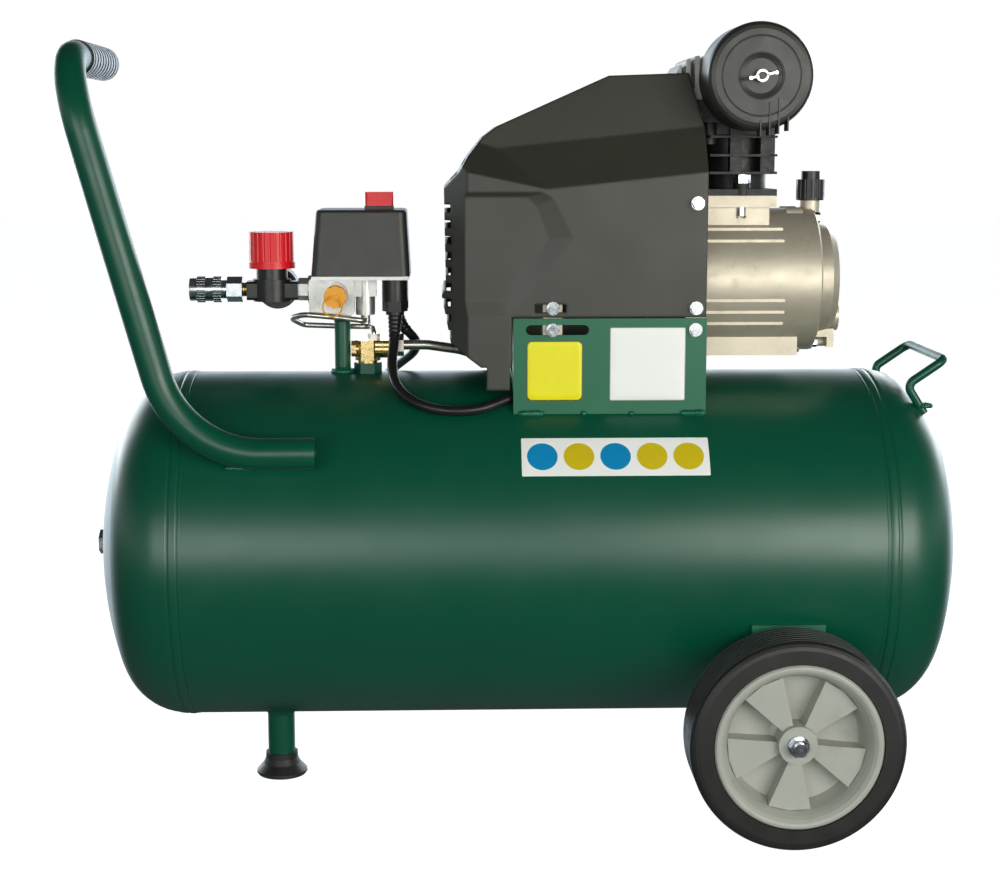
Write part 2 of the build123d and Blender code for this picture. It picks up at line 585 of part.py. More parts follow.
def shroud_prism(inset):
    """The shroud's outer solid, or, inset by its wall, the hollow that opens it to the right and below."""
    half = SHROUD_Y - inset
    right, bottom, foot = (187, 340, 339) if inset else (147, 418.5, 377)
    outline = [(right, bottom), (right, 574 - inset), (134.5, 618.5 - inset), (68, 616.2 - inset),
               (-25.5 + inset * 0.6, 574.6 - inset), (-37 + inset * 0.8, 566 - inset * 0.6),
               (-50 + inset, 549.5 - inset * 0.6), (-57 + inset, 537.2 - inset * 0.5), (-69.5 + inset, 524 - inset * 0.5),
               (-68.2 + inset, 444.5), (-71.6 + inset, 434.3), (-64.2 + inset, 396), (-39.3 + inset, foot),
               (-14, foot), (-14, bottom)]
    body = plate(outline, (-half, half))
    slope = Vector(1, 0, 0.105)
    for side in (-1, 1):
        lower = Vector(145.4, side * half, 537.2 - inset * 0.3)
        upper = Vector(147, side * (SHOULDER_Y - inset), 574.4 - inset * 0.3)
        ridge = Vector(134.5, side * (RIDGE_Y - inset), 618.8)
        bend = Vector(17, side * half, 523.1 - inset * 0.3)
        rise = Vector(-56.4, side * half, 538.5 - inset * 0.3) - bend
        shoulder_end = Vector(-29, side * (SHOULDER_Y - inset), 557 - inset * 0.3)
        shoulder = beyond(lower, slope.cross(upper - lower), side)
        front_shoulder = beyond(bend, rise.cross(shoulder_end - bend), side)
        facet = beyond(upper, slope.cross(ridge - upper), side)
        corner = beyond(Vector(-50 + inset, side * half, 450), Vector(-26, side * 20, 0), side)
        body -= (shoulder & front_shoulder & facet) + corner
    return body


def chevron(growth):
    """A shallow recess with sloping sides in the shroud's near face."""
    outer = [(-80, 521), (12, 521), (20.3, 516), (36.9, 483.3), (-15.6, 418.6 - growth), (-80, 418.6 - growth)]
    inner = [(-80, 517.4), (-1.7, 517.4), (6.5, 509.3), (17, 482.5), (-23.8, 432.4), (-80, 432.4)]
    depths = (-SHROUD_Y - 0.01 + growth, -SHROUD_Y + 3 + growth)
    faces = []
    for points, y in zip((outer, inner), depths):
        faces.append(make_face(Polyline(*[(px, y, pz) for px, pz in points], close=True)))
    return loft(faces, ruled=True)


def shroud():
    cover = shroud_prism(0) - both_sides(chevron(0))
    cavity = shroud_prism(SHROUD_WALL) - both_sides(chevron(SHROUD_WALL))
    shell = cover - cavity
    tab = block((-34.6, -15.5), (-SHROUD_Y, -SHROUD_Y + SHROUD_WALL), (358, 380))
    shell += both_sides(tab)
    slots = 9
    for i in range(slots):
        height = 400 + i * 13
        shell -= block((-90, -61), (-68, 68), (height, height + 6.5))
    for i in range(2):
        shell -= block((-72, -44), (-30, 30), (530 + i * 12, 536 + i * 12))
    hole = rod("y", 3.2, (-SHROUD_Y - 1, -SHROUD_Y + 4), BOLT_X[1], SCREW_Z)
    hole += rod("y", 3.2, (-SHROUD_Y - 1, -SHROUD_Y + 4), BOLT_X[1], HIGH_SCREW_Z)
    hole += block((5, 31), (-SHROUD_Y - 1, -SHROUD_Y + 4), (SCREW_Z - 3.2, SCREW_Z + 3.2))
    shell -= block((120.5, 160), (-42, 42), (578, 625))
    return shell - both_sides(hole)


def filter_body():
    back = FILTER_Y[1]
    cup = rod("y", FILTER_R - 2.2, (FILTER_SPLIT - 6, back), FILTER_X, FILTER_Z)
    cup += rod("y", FILTER_R, (FILTER_SPLIT, back), FILTER_X, FILTER_Z)
    cup -= rod("y", FILTER_R - 4, (FILTER_SPLIT - 7, back - 3), FILTER_X, FILTER_Z)
    cup += rod("y", 12, (back, -38), FILTER_X, 611)
    cup -= rod("y", 8, (back - 4, -37), FILTER_X, 611)
    cup += block((FILTER_X - 9, FILTER_X + 9), (back - 4, back), (FILTER_Z - 3, FILTER_Z + 3))
    return cup + rod("y", 3, (FILTER_Y[0] - 9, back - 3), FILTER_X, FILTER_Z)


def filter_cover():
    front = FILTER_Y[0]
    outer = [(FILTER_SPLIT, FILTER_R - 2.2), (FILTER_SPLIT, FILTER_R), (front + 6, FILTER_R),
             (front + 2.5, FILTER_R - 1), (front + 0.8, FILTER_R - 3), (front, FILTER_R - 6),
             (front, 32.6), (front + 0.5, 32.3), (front + 0.5, 31.7), (front, 31.4), (front, 18.9),
             (front + 0.5, 18.6), (front + 0.5, 18), (front + 1, 17.2), (front + 2, 14), (front + 2, 3.2), (front + 4.4, 3.2), (front + 4.4, FILTER_R - 5),
             (front + 7, FILTER_R - 2.2)]
    cover = turned("y", outer, FILTER_X, FILTER_Z)
    bore = rod("y", FILTER_R - 1, (front + 2, FILTER_SPLIT + 1), FILTER_X, FILTER_Z)
    for x, top, foot in FILTER_PRONGS:
        prong = block((FILTER_X + x - 0.6, FILTER_X + x + 0.6), (front - 0.8, front + 14),
                      (FILTER_Z - foot, FILTER_Z - top))
        cover += prong - bore
    return cover


def filter_element():
    return ring("y", 34, 20, (FILTER_Y[0] + 5, FILTER_Y[1] - 4), FILTER_X, FILTER_Z)


def wing_nut():
    front = FILTER_Y[0]
    nut = rod("y", 5, (front - 5, front + 1.9), FILTER_X, FILTER_Z)
    wing = block((4, 11.5), (front - 11, front - 4), (-0.9, 0.9)) + rod("y", 1.5, (front - 11, front - 5), 10.5, 0)
    wings = wing + mirror(wing, Plane.YZ)
    nut += Pos(FILTER_X, 0, FILTER_Z) * Rot(0, -12, 0) * wings
    return nut - rod("y", 3 + RUNNING_GAP, (front - 10, front + 3), FILTER_X, FILTER_Z)


def delivery_pipe():
    """Pipe from the check valve under the shroud, up its far side and into the head."""
    points = [(-116, 0, 387.2), (-84, 0, 387.2), (-56, 5, 382.5), (-30, 24, 372), (-4, 60, 372), (-3, 71.5, 392),
              (-3, 71.5, 500), (12, 46, 555), (66, 34, 592), (112, 20, 600), PIPE_END]
    pipe = bent_rod(points, PIPE_R, [20, 20, 20, 12, 11, 30, 24, 24, 14])
    nut = hexagon("x", 17, (-115.4, -105), 0, 387.2) - rod("x", PIPE_R, (-116, -104), 0, 387.2)
    head_nut = hexagon("x", 17, (114, 124), PIPE_END[1], PIPE_END[2])
    head_nut -= rod("x", PIPE_R, (113, 125), PIPE_END[1], PIPE_END[2])
    return [pipe, nut, head_nut]


def standpipe():
    pipe = ring("z", 7, 4.5, (TANK_TOP - 6, 420), POST_X, 0)
    weld = [(TANK_TOP - 2, 6.5), (TANK_TOP - 2, 9.6), (TANK_TOP + 1.5, 9), (TANK_TOP + 5, 7), (TANK_TOP + 5, 6.5)]
    collar = turned("z", weld, POST_X, 0) - TANK_OUTSIDE
    return pipe + collar


def switch_manifold():
    body = block((-186, -147), (-13, 13), (413.5, 446))
    body = fillet(body.edges().filter_by(Axis.Y), 4)
    body += rod("x", 12, (-187, -180), 0, LINE_Z) + rod("y", 10.5, (-20, -12), SAFETY_X, SAFETY_Z)
    body += rod("y", 9, (12, 20), SAFETY_X, SAFETY_Z)
    body += block((-150, -128), (-8, 8), (430, 447)) + rod("z", 8.5, (414, 447), -138, 0)
    body += block((-182, -99), (-35, 35), (446, 449))
    body -= rod("z", 7, (412, 420), POST_X, 0) + rod("z", 4.5, (412, LINE_Z), POST_X, 0)
    body -= rod("x", 5, (-188, -158), 0, LINE_Z) + rod("y", 5, (-21, 21), SAFETY_X, SAFETY_Z)
    body -= rod("y", 6.2, (19, 21), SAFETY_X, SAFETY_Z)
    union = hexagon("x", 17, (-195.5, -187), 0, LINE_Z) - rod("x", 5, (-197, -186), 0, LINE_Z)
    eyelet = rod("z", 4.5, (406, 414), -138, 0)
    return [body, union, eyelet]


def tapered_box(lower_x, upper_x, lower_y, upper_y, z):
    low, high = z
    faces = []
    for x, y, height in ((lower_x, lower_y, low), (upper_x, upper_y, high)):
        width, depth = x[1] - x[0], 2 * y
        faces.append(Pos((x[0] + x[1]) / 2, 0, height) * RectangleRounded(width, depth, 7))
    return loft(faces)


def switch_cover():
    outside = tapered_box(SWITCH_X, SWITCH_TOP_X, 36, 32.5, SWITCH_Z)
    outside = fillet(outside.faces().sort_by(Axis.Z)[-1].edges(), 3)
    pad = block((KNOB_X - 12.5, KNOB_X + 12.5), (-9.5, 9.5), (SWITCH_Z[1] - 1, SWITCH_Z[1] + 2.5))
    inside_x = (SWITCH_X[0] + 2.2, SWITCH_X[1] - 2.2)
    inside_top = (SWITCH_TOP_X[0] + 2.2, SWITCH_TOP_X[1] - 2.2)
    inside = tapered_box(inside_x, inside_top, 33.8, 30.3, (SWITCH_Z[0] - 0.01, SWITCH_Z[1] - 2.2))
    return outside + pad - inside - rod("z", 5.3, (490, 510), KNOB_X, 0)


def switch_knob():
    top, foot = 519.6, SWITCH_Z[1] + 2.8
    body = block((KNOB_X - 12.2, KNOB_X + 12.2), (-8.5, 8.5), (foot, top))
    body = fillet(body.edges().filter_by(Axis.Z), 3)
    body -= block((KNOB_X - 5, KNOB_X + 11), (-9, -7.9), (foot + 2, top - 1.5))
    return body + rod("z", 5, (480, foot + 1), KNOB_X, 0)


def cable_glands():
    glands = []
    for y in GLAND_Y:
        gland = rod("z", 11, (427, 446), GLAND_X, y) + hexagon("z", 19, (418, 427), GLAND_X, y)
        gland += rod("z", 8, (GLAND_BOTTOM, 418), GLAND_X, y)
        glands.append(gland - rod("z", CORD_R, (GLAND_BOTTOM, 422), GLAND_X, y))
    return glands


def unloader_tube():
    """Small tube from the switch's relief valve, looped round to the check valve."""
    points = [(-138, -4.6, 410), (-138, -19, 410), (-160, -20, 413), (-190, -17, 415.5), (-203, -2, 411),
              (-193, 15, 403.5), (-158, 17, 402), (-134, 14, 402), (-131, 0, 401), (-131, 0, 388)]
    tube = bent_rod(points, 2.4, [7, 10, 14, 9, 9, 14, 9, 5])
    nut = hexagon("z", 9, (391.5, 397), -131, 0) - rod("z", 2.4, (391, 398), -131, 0)
    return [tube, nut]


def check_valve():
    body = hexagon("z", 19, (374, 391.5), VALVE_X, 0) + rod("z", 6, (362, 374), VALVE_X, 0)
    body += rod("z", 9, (372, 374), VALVE_X, 0) + rod("x", 7.5, (VALVE_X, -118), 0, 383.5)
    body += rod("x", 7.5, (VALVE_X, -115.4), 0, 387.2) & block((-140, -110), (-8, 8), (379, 391.5))
    body += rod("x", 5.5, (-150, VALVE_X), 0, 384)
    body -= rod("z", 2.4, (388, 392), -131, 0) + rod("x", PIPE_R, (-116, -114), 0, 387.2)
    plug = hexagon("x", 12, (-150.6, -146.4), 0, 384) - rod("x", 5.5, (-151, -146), 0, 384)
    return [body, plug]


def regulator_body():
    body = block((REGULATOR_X - 21, REGULATOR_X + 23), (-11.5, 11.5), (427.2, 443.2))
    body = fillet(body.edges().filter_by(Axis.X), 2.5)
    body += rod("z", 16.5, (426, 445), REGULATOR_X, 0) + rod("z", 13.5, (444, 454), REGULATOR_X, 0)
    body += rod("z", 11.5, (453, 472), REGULATOR_X, 0) + rod("y", 8, (10, 18), REGULATOR_X + 2.5, LINE_Z - 1)
    body -= rod("x", 5, (REGULATOR_X - 22, REGULATOR_X + 24), 0, LINE_Z)
    return body - rod("y", 5, (8, 19), REGULATOR_X + 2.5, LINE_Z - 1)


def regulator_knob():
    base, top = 454.4, 485.5
    knob = rod("z", 19, (base, top), REGULATOR_X, 0) + rod("z", 20.3, (base, base + 5), REGULATOR_X, 0)
    flutes = 24
    for i in range(flutes):
        angle = i * 2 * math.pi / flutes
        x, y = REGULATOR_X + 19.5 * math.cos(angle), 19.5 * math.sin(angle)
        knob -= rod("z", 1.3, (base + 6, top + 1), x, y)
    return knob - rod("z", 11.5 + RUNNING_GAP, (base - 1, 473), REGULATOR_X, 0)


def coupling_body():
    hexed = hexagon("x", 19, (-257, -243.8), 0, LINE_Z) + rod("x", 5, (-243.8, -232), 0, LINE_Z)
    core = rod("x", 8, (-289, -257), 0, LINE_Z) + rod("x", 9.8, (-289, -283.4), 0, LINE_Z)
    core += rod("x", 5.9, (-243.8, -239.5), 0, LINE_Z)
    return hexed + core - rod("x", 3.7, (-290, -231), 0, LINE_Z)


def coupling_sleeve():
    inner = 8 + RUNNING_GAP
    sleeve = ring("x", 10.2, inner, (-283.2, -261.5), 0, LINE_Z)
    for span in ((-282.6, -275.4), (-268.6, -261.5)):
        band = ring("x", 11.3, inner, span, 0, LINE_Z)
        grooves = 28
        for i in range(grooves):
            angle = i * 2 * math.pi / grooves
            y, z = 11.6 * math.cos(angle), LINE_Z + 11.6 * math.sin(angle)
            band -= rod("x", 0.6, span, y, z)
        sleeve += band
    return sleeve


def gauge_cases():
    cases = []
    for x, y, z in GAUGES.values():
        case = rod("y", 6, (18, y + 5), x, z) + rod("y", GAUGE_R, (y + 5, y + 26), x, z)
        case -= rod("y", GAUGE_R - 1.8, (y + 21, y + 27), x, z)
        cases.append((case + rod("y", 1.2, (y + 20, y + 24.5), x, z)) - rod("y", 6.2, (10, 20), x, z))
    return cases


def gauge_needle(name):
    """A needle on its zero stop, pointing down to the left of its dial."""
    x, y, z = GAUGES[name]
    needle = block((-0.8, 0.8), (y + 22.5, y + 23.3), (-4, 13)) + rod("y", 3, (y + 22.3, y + 23.6), 0, 0)
    needle = Rot(0, 135, 0) * needle
    return Pos(x, 0, z) * needle - rod("y", 1.2 + RUNNING_GAP, (y + 20, y + 25), x, z)


def safety_valve():
    body = hexagon("y", 14, (-29, -20), SAFETY_X, SAFETY_Z) + rod("y", 5, (-20, -13), SAFETY_X, SAFETY_Z)
    return body + rod("y", 5.5, (-35, -29), SAFETY_X, SAFETY_Z)


def safety_valve_cap():
    cap = rod("y", 9.6, (-41, -29.4), SAFETY_X, SAFETY_Z) - rod("y", 5.5 + RUNNING_GAP, (-35.2, -29), SAFETY_X, SAFETY_Z)
    notches = 8
    for i in range(notches):
        angle = (i + 0.5) * 2 * math.pi / notches
        cap -= rod("y", 1.4, (-42, -31), SAFETY_X + 10 * math.cos(angle), SAFETY_Z + 10 * math.sin(angle))
    cap += block((SAFETY_X - 3.5, SAFETY_X + 3.5), (-44.5, -41), (SAFETY_Z - 1.4, SAFETY_Z + 1.4))
    loop = Pos(SAFETY_X - 2, -43.4, SAFETY_Z - 8) * Rot(-90, 0, 0) * Torus(8, 0.75)
    return cap + loop


# Cord routes: hand-placed points, each a few cord diameters from the next
MOTOR_LEAD = [(GLAND_X, GLAND_Y[0], GLAND_BOTTOM), (-112.5, -20, 394), (-115, -40, 374), (-111, -62, 359),
              (-97, -79, 348), (-78, -87.5, 342.5), (-57, -89.5, 341), (-37, -86.5, 343), (-21, -78, 348.5),
              (-9, -72, 351.5), (4, -69, 353.5)]
MAINS_LEAD = [(GLAND_X, GLAND_Y[1], GLAND_BOTTOM), (-107.5, 15, 403), (-98.5, 18, 394.5), (-93.5, 26, 386),
              (-97, 37, 376.5), (-107, 52, 367.5), (-121, 74, 354.5), (-136, 101, 335), (-148, 129, 304),
              (-155, 153, 258), (-155, 170, 205), (-149, 181, 150), (-138, 190, 98), (-122, 201, 56),
              (-99, 213, 27), (-70, 223, 10), (-38, 227.5, 4.5), (0, 228, 4.6)]
PLUG_LEAD = [(48, 228, 4.6), (78, 227.5, 4.5), (106, 229, 7.5), (130, 232, 13.5), (150, 234, 18.5),
             (172, 234.6, 19.5)]
COIL_CENTRE = (24.0, 271.0)
COIL_R, COIL_HOLE_R = 56.0, 31.0
COIL_Z = (0.3, 27.0)
PLUG_X, PLUG_Y, PLUG_Z = 168.0, 234.6, 19.5


def cord(points):
    """A cord of straight runs joined by arcs as large as the runs allow."""
    vectors = [Vector(*point) for point in points]
    bends = []
    for before, here, after in zip(vectors, vectors[1:], vectors[2:]):
        turn = math.radians((here - before).get_angle(after - here))
        run = min((here - before).length, (after - here).length)
        bends.append(0.45 * run / math.tan(turn / 2))
    path = FilletPolyline(*points, radius=bends)
    start = Plane(origin=path @ 0, z_dir=path % 0)
    return sweep(start * Circle(CORD_R), path=path)


def mains_coil():
    coil = ring("z", COIL_R, COIL_HOLE_R, COIL_Z, *COIL_CENTRE)
    return fillet(coil.edges().filter_by(GeomType.CIRCLE), 9)


def mains_plug():
    """A two-pin earthed plug lying on the floor."""
    outline = [(PLUG_X, 0), (PLUG_X, 6.5), (PLUG_X + 18, 8.5), (PLUG_X + 24, 17), (PLUG_X + 30, 18.8),
               (PLUG_X + 52, 18.8), (PLUG_X + 54, 17.5), (PLUG_X + 54, 0)]
    plug = turned("x", outline, PLUG_Y, PLUG_Z)
    face = PLUG_X + 54
    pins = [rod("x", 2.4, (face, face + 19), PLUG_Y + side * 9.5, PLUG_Z) for side in (-1, 1)]
    return [plug] + pins


def leads():
    """The free leads, trimmed where they meet the coil and the plug."""
    coil, plug = mains_coil(), mains_plug()
    return {
        "motor_lead": cord(MOTOR_LEAD), "mains_coil": coil, "mains_plug": plug,
        "mains_lead": [cord(MAINS_LEAD) - coil, cord(PLUG_LEAD) - coil - plug[0]],
    }


def build():
    near_rim, near_tyre = rim(), tyre()
    return {
        "tank_shell": tank_shell(), "tank_heads": tank_heads(), "inspection_plug": inspection_plug(),
        "drain_screw": drain_screw(), "front_leg": front_leg(), "front_foot": front_foot(),
        "push_handle": push_handle(), "handle_grip": handle_grip(), "lift_handle": lift_handle(),
        "axle_brackets": axle_brackets(), "wheel_bolts": wheel_bolts(),
        "rim_right": near_rim, "rim_left": mirror(near_rim, Plane.XZ),
        "tyre_right": near_tyre, "tyre_left": mirror(near_tyre, Plane.XZ),
        "pump_bracket": pump_bracket(), "hex_bolts": hex_bolts(), "shroud": shroud(),
        "crankcase": crankcase(), "crankcase_cover": crankcase_cover(), "sight_glass": sight_glass(),
        "oil_cap": oil_cap(), "cylinder": cylinder(), "valve_plate": valve_plate(),
        "cylinder_head": cylinder_head(), "head_bolts": head_bolts(), "crankshaft": crankshaft(),
        "connecting_rod": connecting_rod(), "piston": piston(), "bearings": bearings(), "stator": stator(),
        "rotor_core": rotor_core(), "motor_end_shield": motor_end_shield(), "cooling_fan": cooling_fan(),
        "capacitor": capacitor(), "filter_body": filter_body(), "filter_cover": filter_cover(),
        "filter_element": filter_element(), "wing_nut": wing_nut(), "delivery_pipe": delivery_pipe(),
        "standpipe": standpipe(), "switch_manifold": switch_manifold(), "switch_cover": switch_cover(),
        "switch_knob": switch_knob(), "cable_glands": cable_glands(), "unloader_tube": unloader_tube(),
        "check_valve": check_valve(), "regulator_body": regulator_body(), "regulator_knob": regulator_knob(),
        "coupling_body": coupling_body(), "coupling_sleeve": coupling_sleeve(), "gauge_cases": gauge_cases(),
        "gauge_needle_tank": gauge_needle("tank"), "gauge_needle_outlet": gauge_needle("outlet"),
        "safety_valve": safety_valve(), "safety_valve_cap": safety_valve_cap(),
    }


def gather(shapes):
    """One compound from the loose solids of a node."""
    if not isinstance(shapes, list):
        shapes = [shapes]
    solids = [solid for shape in shapes for solid in shape.solids()]
    return solids[0] if len(solids) == 1 else Compound(children=solids)


def main():
    os.makedirs("parts", exist_ok=True)
    for name, shapes in {**build(), **leads()}.items():
        export_step(gather(shapes), f"parts/{name}.step")


main()
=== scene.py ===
import json
import math
import random

import bmesh
import bpy
from mathutils import Matrix, Vector

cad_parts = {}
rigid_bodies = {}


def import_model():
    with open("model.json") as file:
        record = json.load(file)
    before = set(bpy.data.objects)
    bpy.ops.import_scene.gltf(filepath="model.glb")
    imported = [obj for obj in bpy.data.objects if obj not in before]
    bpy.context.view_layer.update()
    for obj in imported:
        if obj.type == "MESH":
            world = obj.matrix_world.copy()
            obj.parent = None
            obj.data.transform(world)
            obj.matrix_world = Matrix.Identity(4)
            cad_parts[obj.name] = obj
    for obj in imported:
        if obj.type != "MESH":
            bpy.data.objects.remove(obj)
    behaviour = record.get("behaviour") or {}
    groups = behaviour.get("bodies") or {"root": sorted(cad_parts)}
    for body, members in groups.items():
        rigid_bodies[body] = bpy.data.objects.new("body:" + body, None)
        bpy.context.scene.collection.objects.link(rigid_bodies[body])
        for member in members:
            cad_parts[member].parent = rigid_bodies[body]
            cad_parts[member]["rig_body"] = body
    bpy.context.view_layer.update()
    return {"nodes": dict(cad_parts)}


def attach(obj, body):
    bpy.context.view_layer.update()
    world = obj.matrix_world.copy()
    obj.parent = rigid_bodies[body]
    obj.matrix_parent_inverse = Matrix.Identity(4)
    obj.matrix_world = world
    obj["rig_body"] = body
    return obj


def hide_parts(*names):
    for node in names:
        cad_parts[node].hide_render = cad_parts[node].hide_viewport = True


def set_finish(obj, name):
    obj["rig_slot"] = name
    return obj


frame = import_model()
NODES = frame["nodes"]
MM = 0.001

# ---------------------------------------------------------------- places on the CAD, in mm
TANK_Z, TANK_R = 213.6, 150.0
SEAMS = (("seam_front", -285.4, -293.6, 7), ("seam_rear", 291.7, 299.9, 11))
CHEEK_Y = -84.0
BRACKET_Y = 85.0
AXLE_Y, AXLE_DROP = 144.6, 44.2
STANDPIPE_X, STANDPIPE_R = -158.2, 8.6
LEG_X, LEG_R = -217.8, 15.4
LIFT_X, LIFT_Y, LIFT_R = 338.6, 61.4, 4.6
OUTLET_Z = 436
PLUG = Vector((168.0, 234.6, 19.5))
CORD_D = 0.0085

# ---------------------------------------------------------------- camera
camera = bpy.data.objects.new("camera", bpy.data.cameras.new("camera"))
CAMERA_DOWN, CAMERA_TURN = 8.99, -1.75
camera.data.lens = 65.1
camera.location = (-0.0691, -1.5724, 0.556)
camera.rotation_euler = (math.radians(90 - CAMERA_DOWN), 0, math.radians(CAMERA_TURN))
bpy.context.scene.collection.objects.link(camera)
bpy.context.scene.camera = camera
bpy.context.scene.view_settings.view_transform = "Standard"


# ---------------------------------------------------------------- materials
def srgb(r, g, b):
    """A colour given as 0 to 255 display values."""
    def linear(v):
        v /= 255
        return v / 12.92 if v <= 0.04045 else ((v + 0.055) / 1.055) ** 2.4
    return (linear(r), linear(g), linear(b), 1)


def node(tree, kind, **values):
    made = tree.nodes.new(kind)
    for name, value in values.items():
        setattr(made, name, value)
    return made


def noise(tree, coords, scale, detail=3.0, rough=0.55):
    made = node(tree, "ShaderNodeTexNoise")
    made.inputs["Scale"].default_value = scale
    made.inputs["Detail"].default_value = detail
    made.inputs["Roughness"].default_value = rough
    tree.links.new(coords, made.inputs["Vector"])
    return made.outputs["Fac"]


def spread(tree, source, low, high, start=0.3, end=0.7):
    made = node(tree, "ShaderNodeMapRange")
    made.inputs["From Min"].default_value = start
    made.inputs["From Max"].default_value = end
    made.inputs["To Min"].default_value = low
    made.inputs["To Max"].default_value = high
    tree.links.new(source, made.inputs["Value"])
    return made.outputs["Result"]


def mixed(tree, factor, a, b):
    made = node(tree, "ShaderNodeMix", data_type="RGBA")
    for socket, value in ((made.inputs[6], a), (made.inputs[7], b)):
        if isinstance(value, bpy.types.NodeSocket):
            tree.links.new(value, socket)
        else:
            socket.default_value = value
    tree.links.new(factor, made.inputs[0])
    return made.outputs[2]


def shade(colour, k):
    return tuple(min(1, max(0, c * k)) for c in colour[:3]) + (1,)


def relief_node(tree, source, depth):
    """A bump of the given depth in mm."""
    made = node(tree, "ShaderNodeBump")
    made.inputs["Strength"].default_value = 1.0
    made.inputs["Distance"].default_value = depth * MM
    tree.links.new(source, made.inputs["Height"])
    return made


# What a band texture of scale 1 repeats at, in metres
WAVE_PITCH = 0.314


def surface(name, colour, rough, metal=0.0, grain=900, depth=0.02, tone=0.08, blotch=14, patch=0.05,
            specular=0.5, dust_and_sheen=None, rounded=0.0, lines=None, second=None):
    """A finish with uneven colour, uneven gloss and a fine relief, in the piece's own coordinates.

    grain and blotch are texture scales, depth and rounded are in mm, tone and patch are how far the
    colour and the roughness wander. The specks of a second colour are given as (colour, scale, share):
    real dust on most finishes, a painted sheen on the tyre. lines is (axis, pitch, height).
    """
    made = bpy.data.materials.new(name)
    made.use_nodes = True
    tree = made.node_tree
    shader = tree.nodes["Principled BSDF"]
    coords = node(tree, "ShaderNodeTexCoord").outputs["Object"]
    large = noise(tree, coords, blotch, 4)
    small = noise(tree, coords, grain, 2)
    base = mixed(tree, spread(tree, large, 0, 1), shade(colour, 1 - tone), shade(colour, 1 + tone))
    fine = mixed(tree, spread(tree, small, 0, 0.35), base, shade(colour, 1 + tone * 1.6))
    # Specks of a second colour: dust on most finishes, and on the tyre a painted sheen
    if dust_and_sheen:
        tint, scale, share = dust_and_sheen
        specks = spread(tree, noise(tree, coords, scale, 5, 0.65), 0, share, 0.55, 0.75)
        fine = mixed(tree, specks, fine, tint)
    if second:
        fine = second(tree, coords, fine)
    tree.links.new(fine, shader.inputs["Base Color"])
    tree.links.new(spread(tree, noise(tree, coords, blotch * 3, 3), rough - patch, rough + patch),
                   shader.inputs["Roughness"])
    shader.inputs["Metallic"].default_value = metal
    shader.inputs["Specular IOR Level"].default_value = specular
    bump = relief_node(tree, small, depth)
    last = bump
    if lines:
        axis, pitch, height = lines
        wave = node(tree, "ShaderNodeTexWave", wave_type="BANDS", bands_direction=axis)
        wave.inputs["Scale"].default_value = WAVE_PITCH / (pitch * MM)
        wave.inputs["Distortion"].default_value = 0.6
        wave.inputs["Detail"].default_value = 2
        tree.links.new(coords, wave.inputs["Vector"])
        last = relief_node(tree, wave.outputs["Fac"], height)
        tree.links.new(bump.outputs["Normal"], last.inputs["Normal"])
    if rounded:
        bevel = node(tree, "ShaderNodeBevel", samples=6)
        bevel.inputs["Radius"].default_value = rounded * MM
        tree.links.new(bevel.outputs["Normal"], bump.inputs["Normal"])
    tree.links.new(last.outputs["Normal"], shader.inputs["Normal"])
    return made


X, Z = 0, 2
HEAD_TOP_Z = 597
CORE_END_X = 100


def zone(axis, edge, colour):
    """A second colour above a plane across an axis, in mm."""
    def add(tree, coords, base):
        split = node(tree, "ShaderNodeSeparateXYZ")
        tree.links.new(coords, split.inputs[0])
        compare = node(tree, "ShaderNodeMath", operation="GREATER_THAN")
        compare.inputs[1].default_value = edge * MM
        tree.links.new(split.outputs[axis], compare.inputs[0])
        return mixed(tree, compare.outputs[0], base, colour)
    return add


GREEN = srgb(0, 80, 57)
paint = surface("tank_paint", GREEN, 0.33, grain=320, depth=0.012, tone=0.05, blotch=7, patch=0.03,
                specular=0.6)
paint_rod = surface("tube_paint", GREEN, 0.33, grain=420, depth=0.01, tone=0.06, blotch=18, patch=0.04)
paint_sheet = surface("bracket_paint", srgb(16, 104, 72), 0.42, grain=520, depth=0.015, tone=0.06, blotch=16,
                      patch=0.04)
weld_paint = surface("weld_paint", srgb(8, 96, 70), 0.3, grain=260, depth=0.12, tone=0.16, blotch=60,
                     patch=0.08)
zinc = surface("zinc", (0.56, 0.585, 0.61, 1), 0.24, metal=1, grain=1500, depth=0.01, tone=0.07, blotch=90,
               patch=0.08, dust_and_sheen=(srgb(150, 170, 190), 120, 0.35))
zinc_dark = surface("zinc_union", (0.52, 0.55, 0.58, 1), 0.3, metal=1, grain=1500, depth=0.01, tone=0.1,
                    blotch=120, patch=0.08)
alloy = surface("cast_alloy", (0.60, 0.54, 0.43, 1), 0.45, metal=0.55, grain=1400, depth=0.05, tone=0.05,
                blotch=30, patch=0.06, dust_and_sheen=(srgb(150, 142, 124), 90, 0.3))
alloy_bright = surface("cast_manifold", (0.60, 0.595, 0.57, 1), 0.38, metal=0.8, grain=1600, depth=0.05,
                       tone=0.08, blotch=60, patch=0.08)
black_casting = surface("black_casting", srgb(26, 26, 25), 0.5, grain=700, depth=0.16, tone=0.3, blotch=60,
                        patch=0.1)
head_casting = surface("head_casting", srgb(28, 28, 27), 0.5, grain=700, depth=0.14, tone=0.25, blotch=60,
                       patch=0.1, second=zone(Z, HEAD_TOP_Z, (0.55, 0.54, 0.50, 1)))
plastic = surface("shroud_plastic", srgb(52, 51, 43), 0.47, grain=1700, depth=0.03, tone=0.1, blotch=10,
                  patch=0.04, specular=0.62, rounded=3.0)
plastic_small = surface("black_plastic", srgb(26, 26, 25), 0.36, grain=1500, depth=0.02, tone=0.12, blotch=40,
                        patch=0.06)
switch_plastic = surface("switch_plastic", srgb(44, 44, 38), 0.44, grain=1900, depth=0.04, tone=0.1,
                         blotch=24, patch=0.04, specular=0.6)
filter_plastic = surface("filter_plastic", srgb(40, 39, 34), 0.42, grain=1500, depth=0.02, tone=0.12,
                         blotch=30, patch=0.05, specular=0.6, rounded=0.6)
red = surface("red_plastic", srgb(236, 24, 34), 0.34, grain=1200, depth=0.015, tone=0.06, blotch=60,
              patch=0.06)
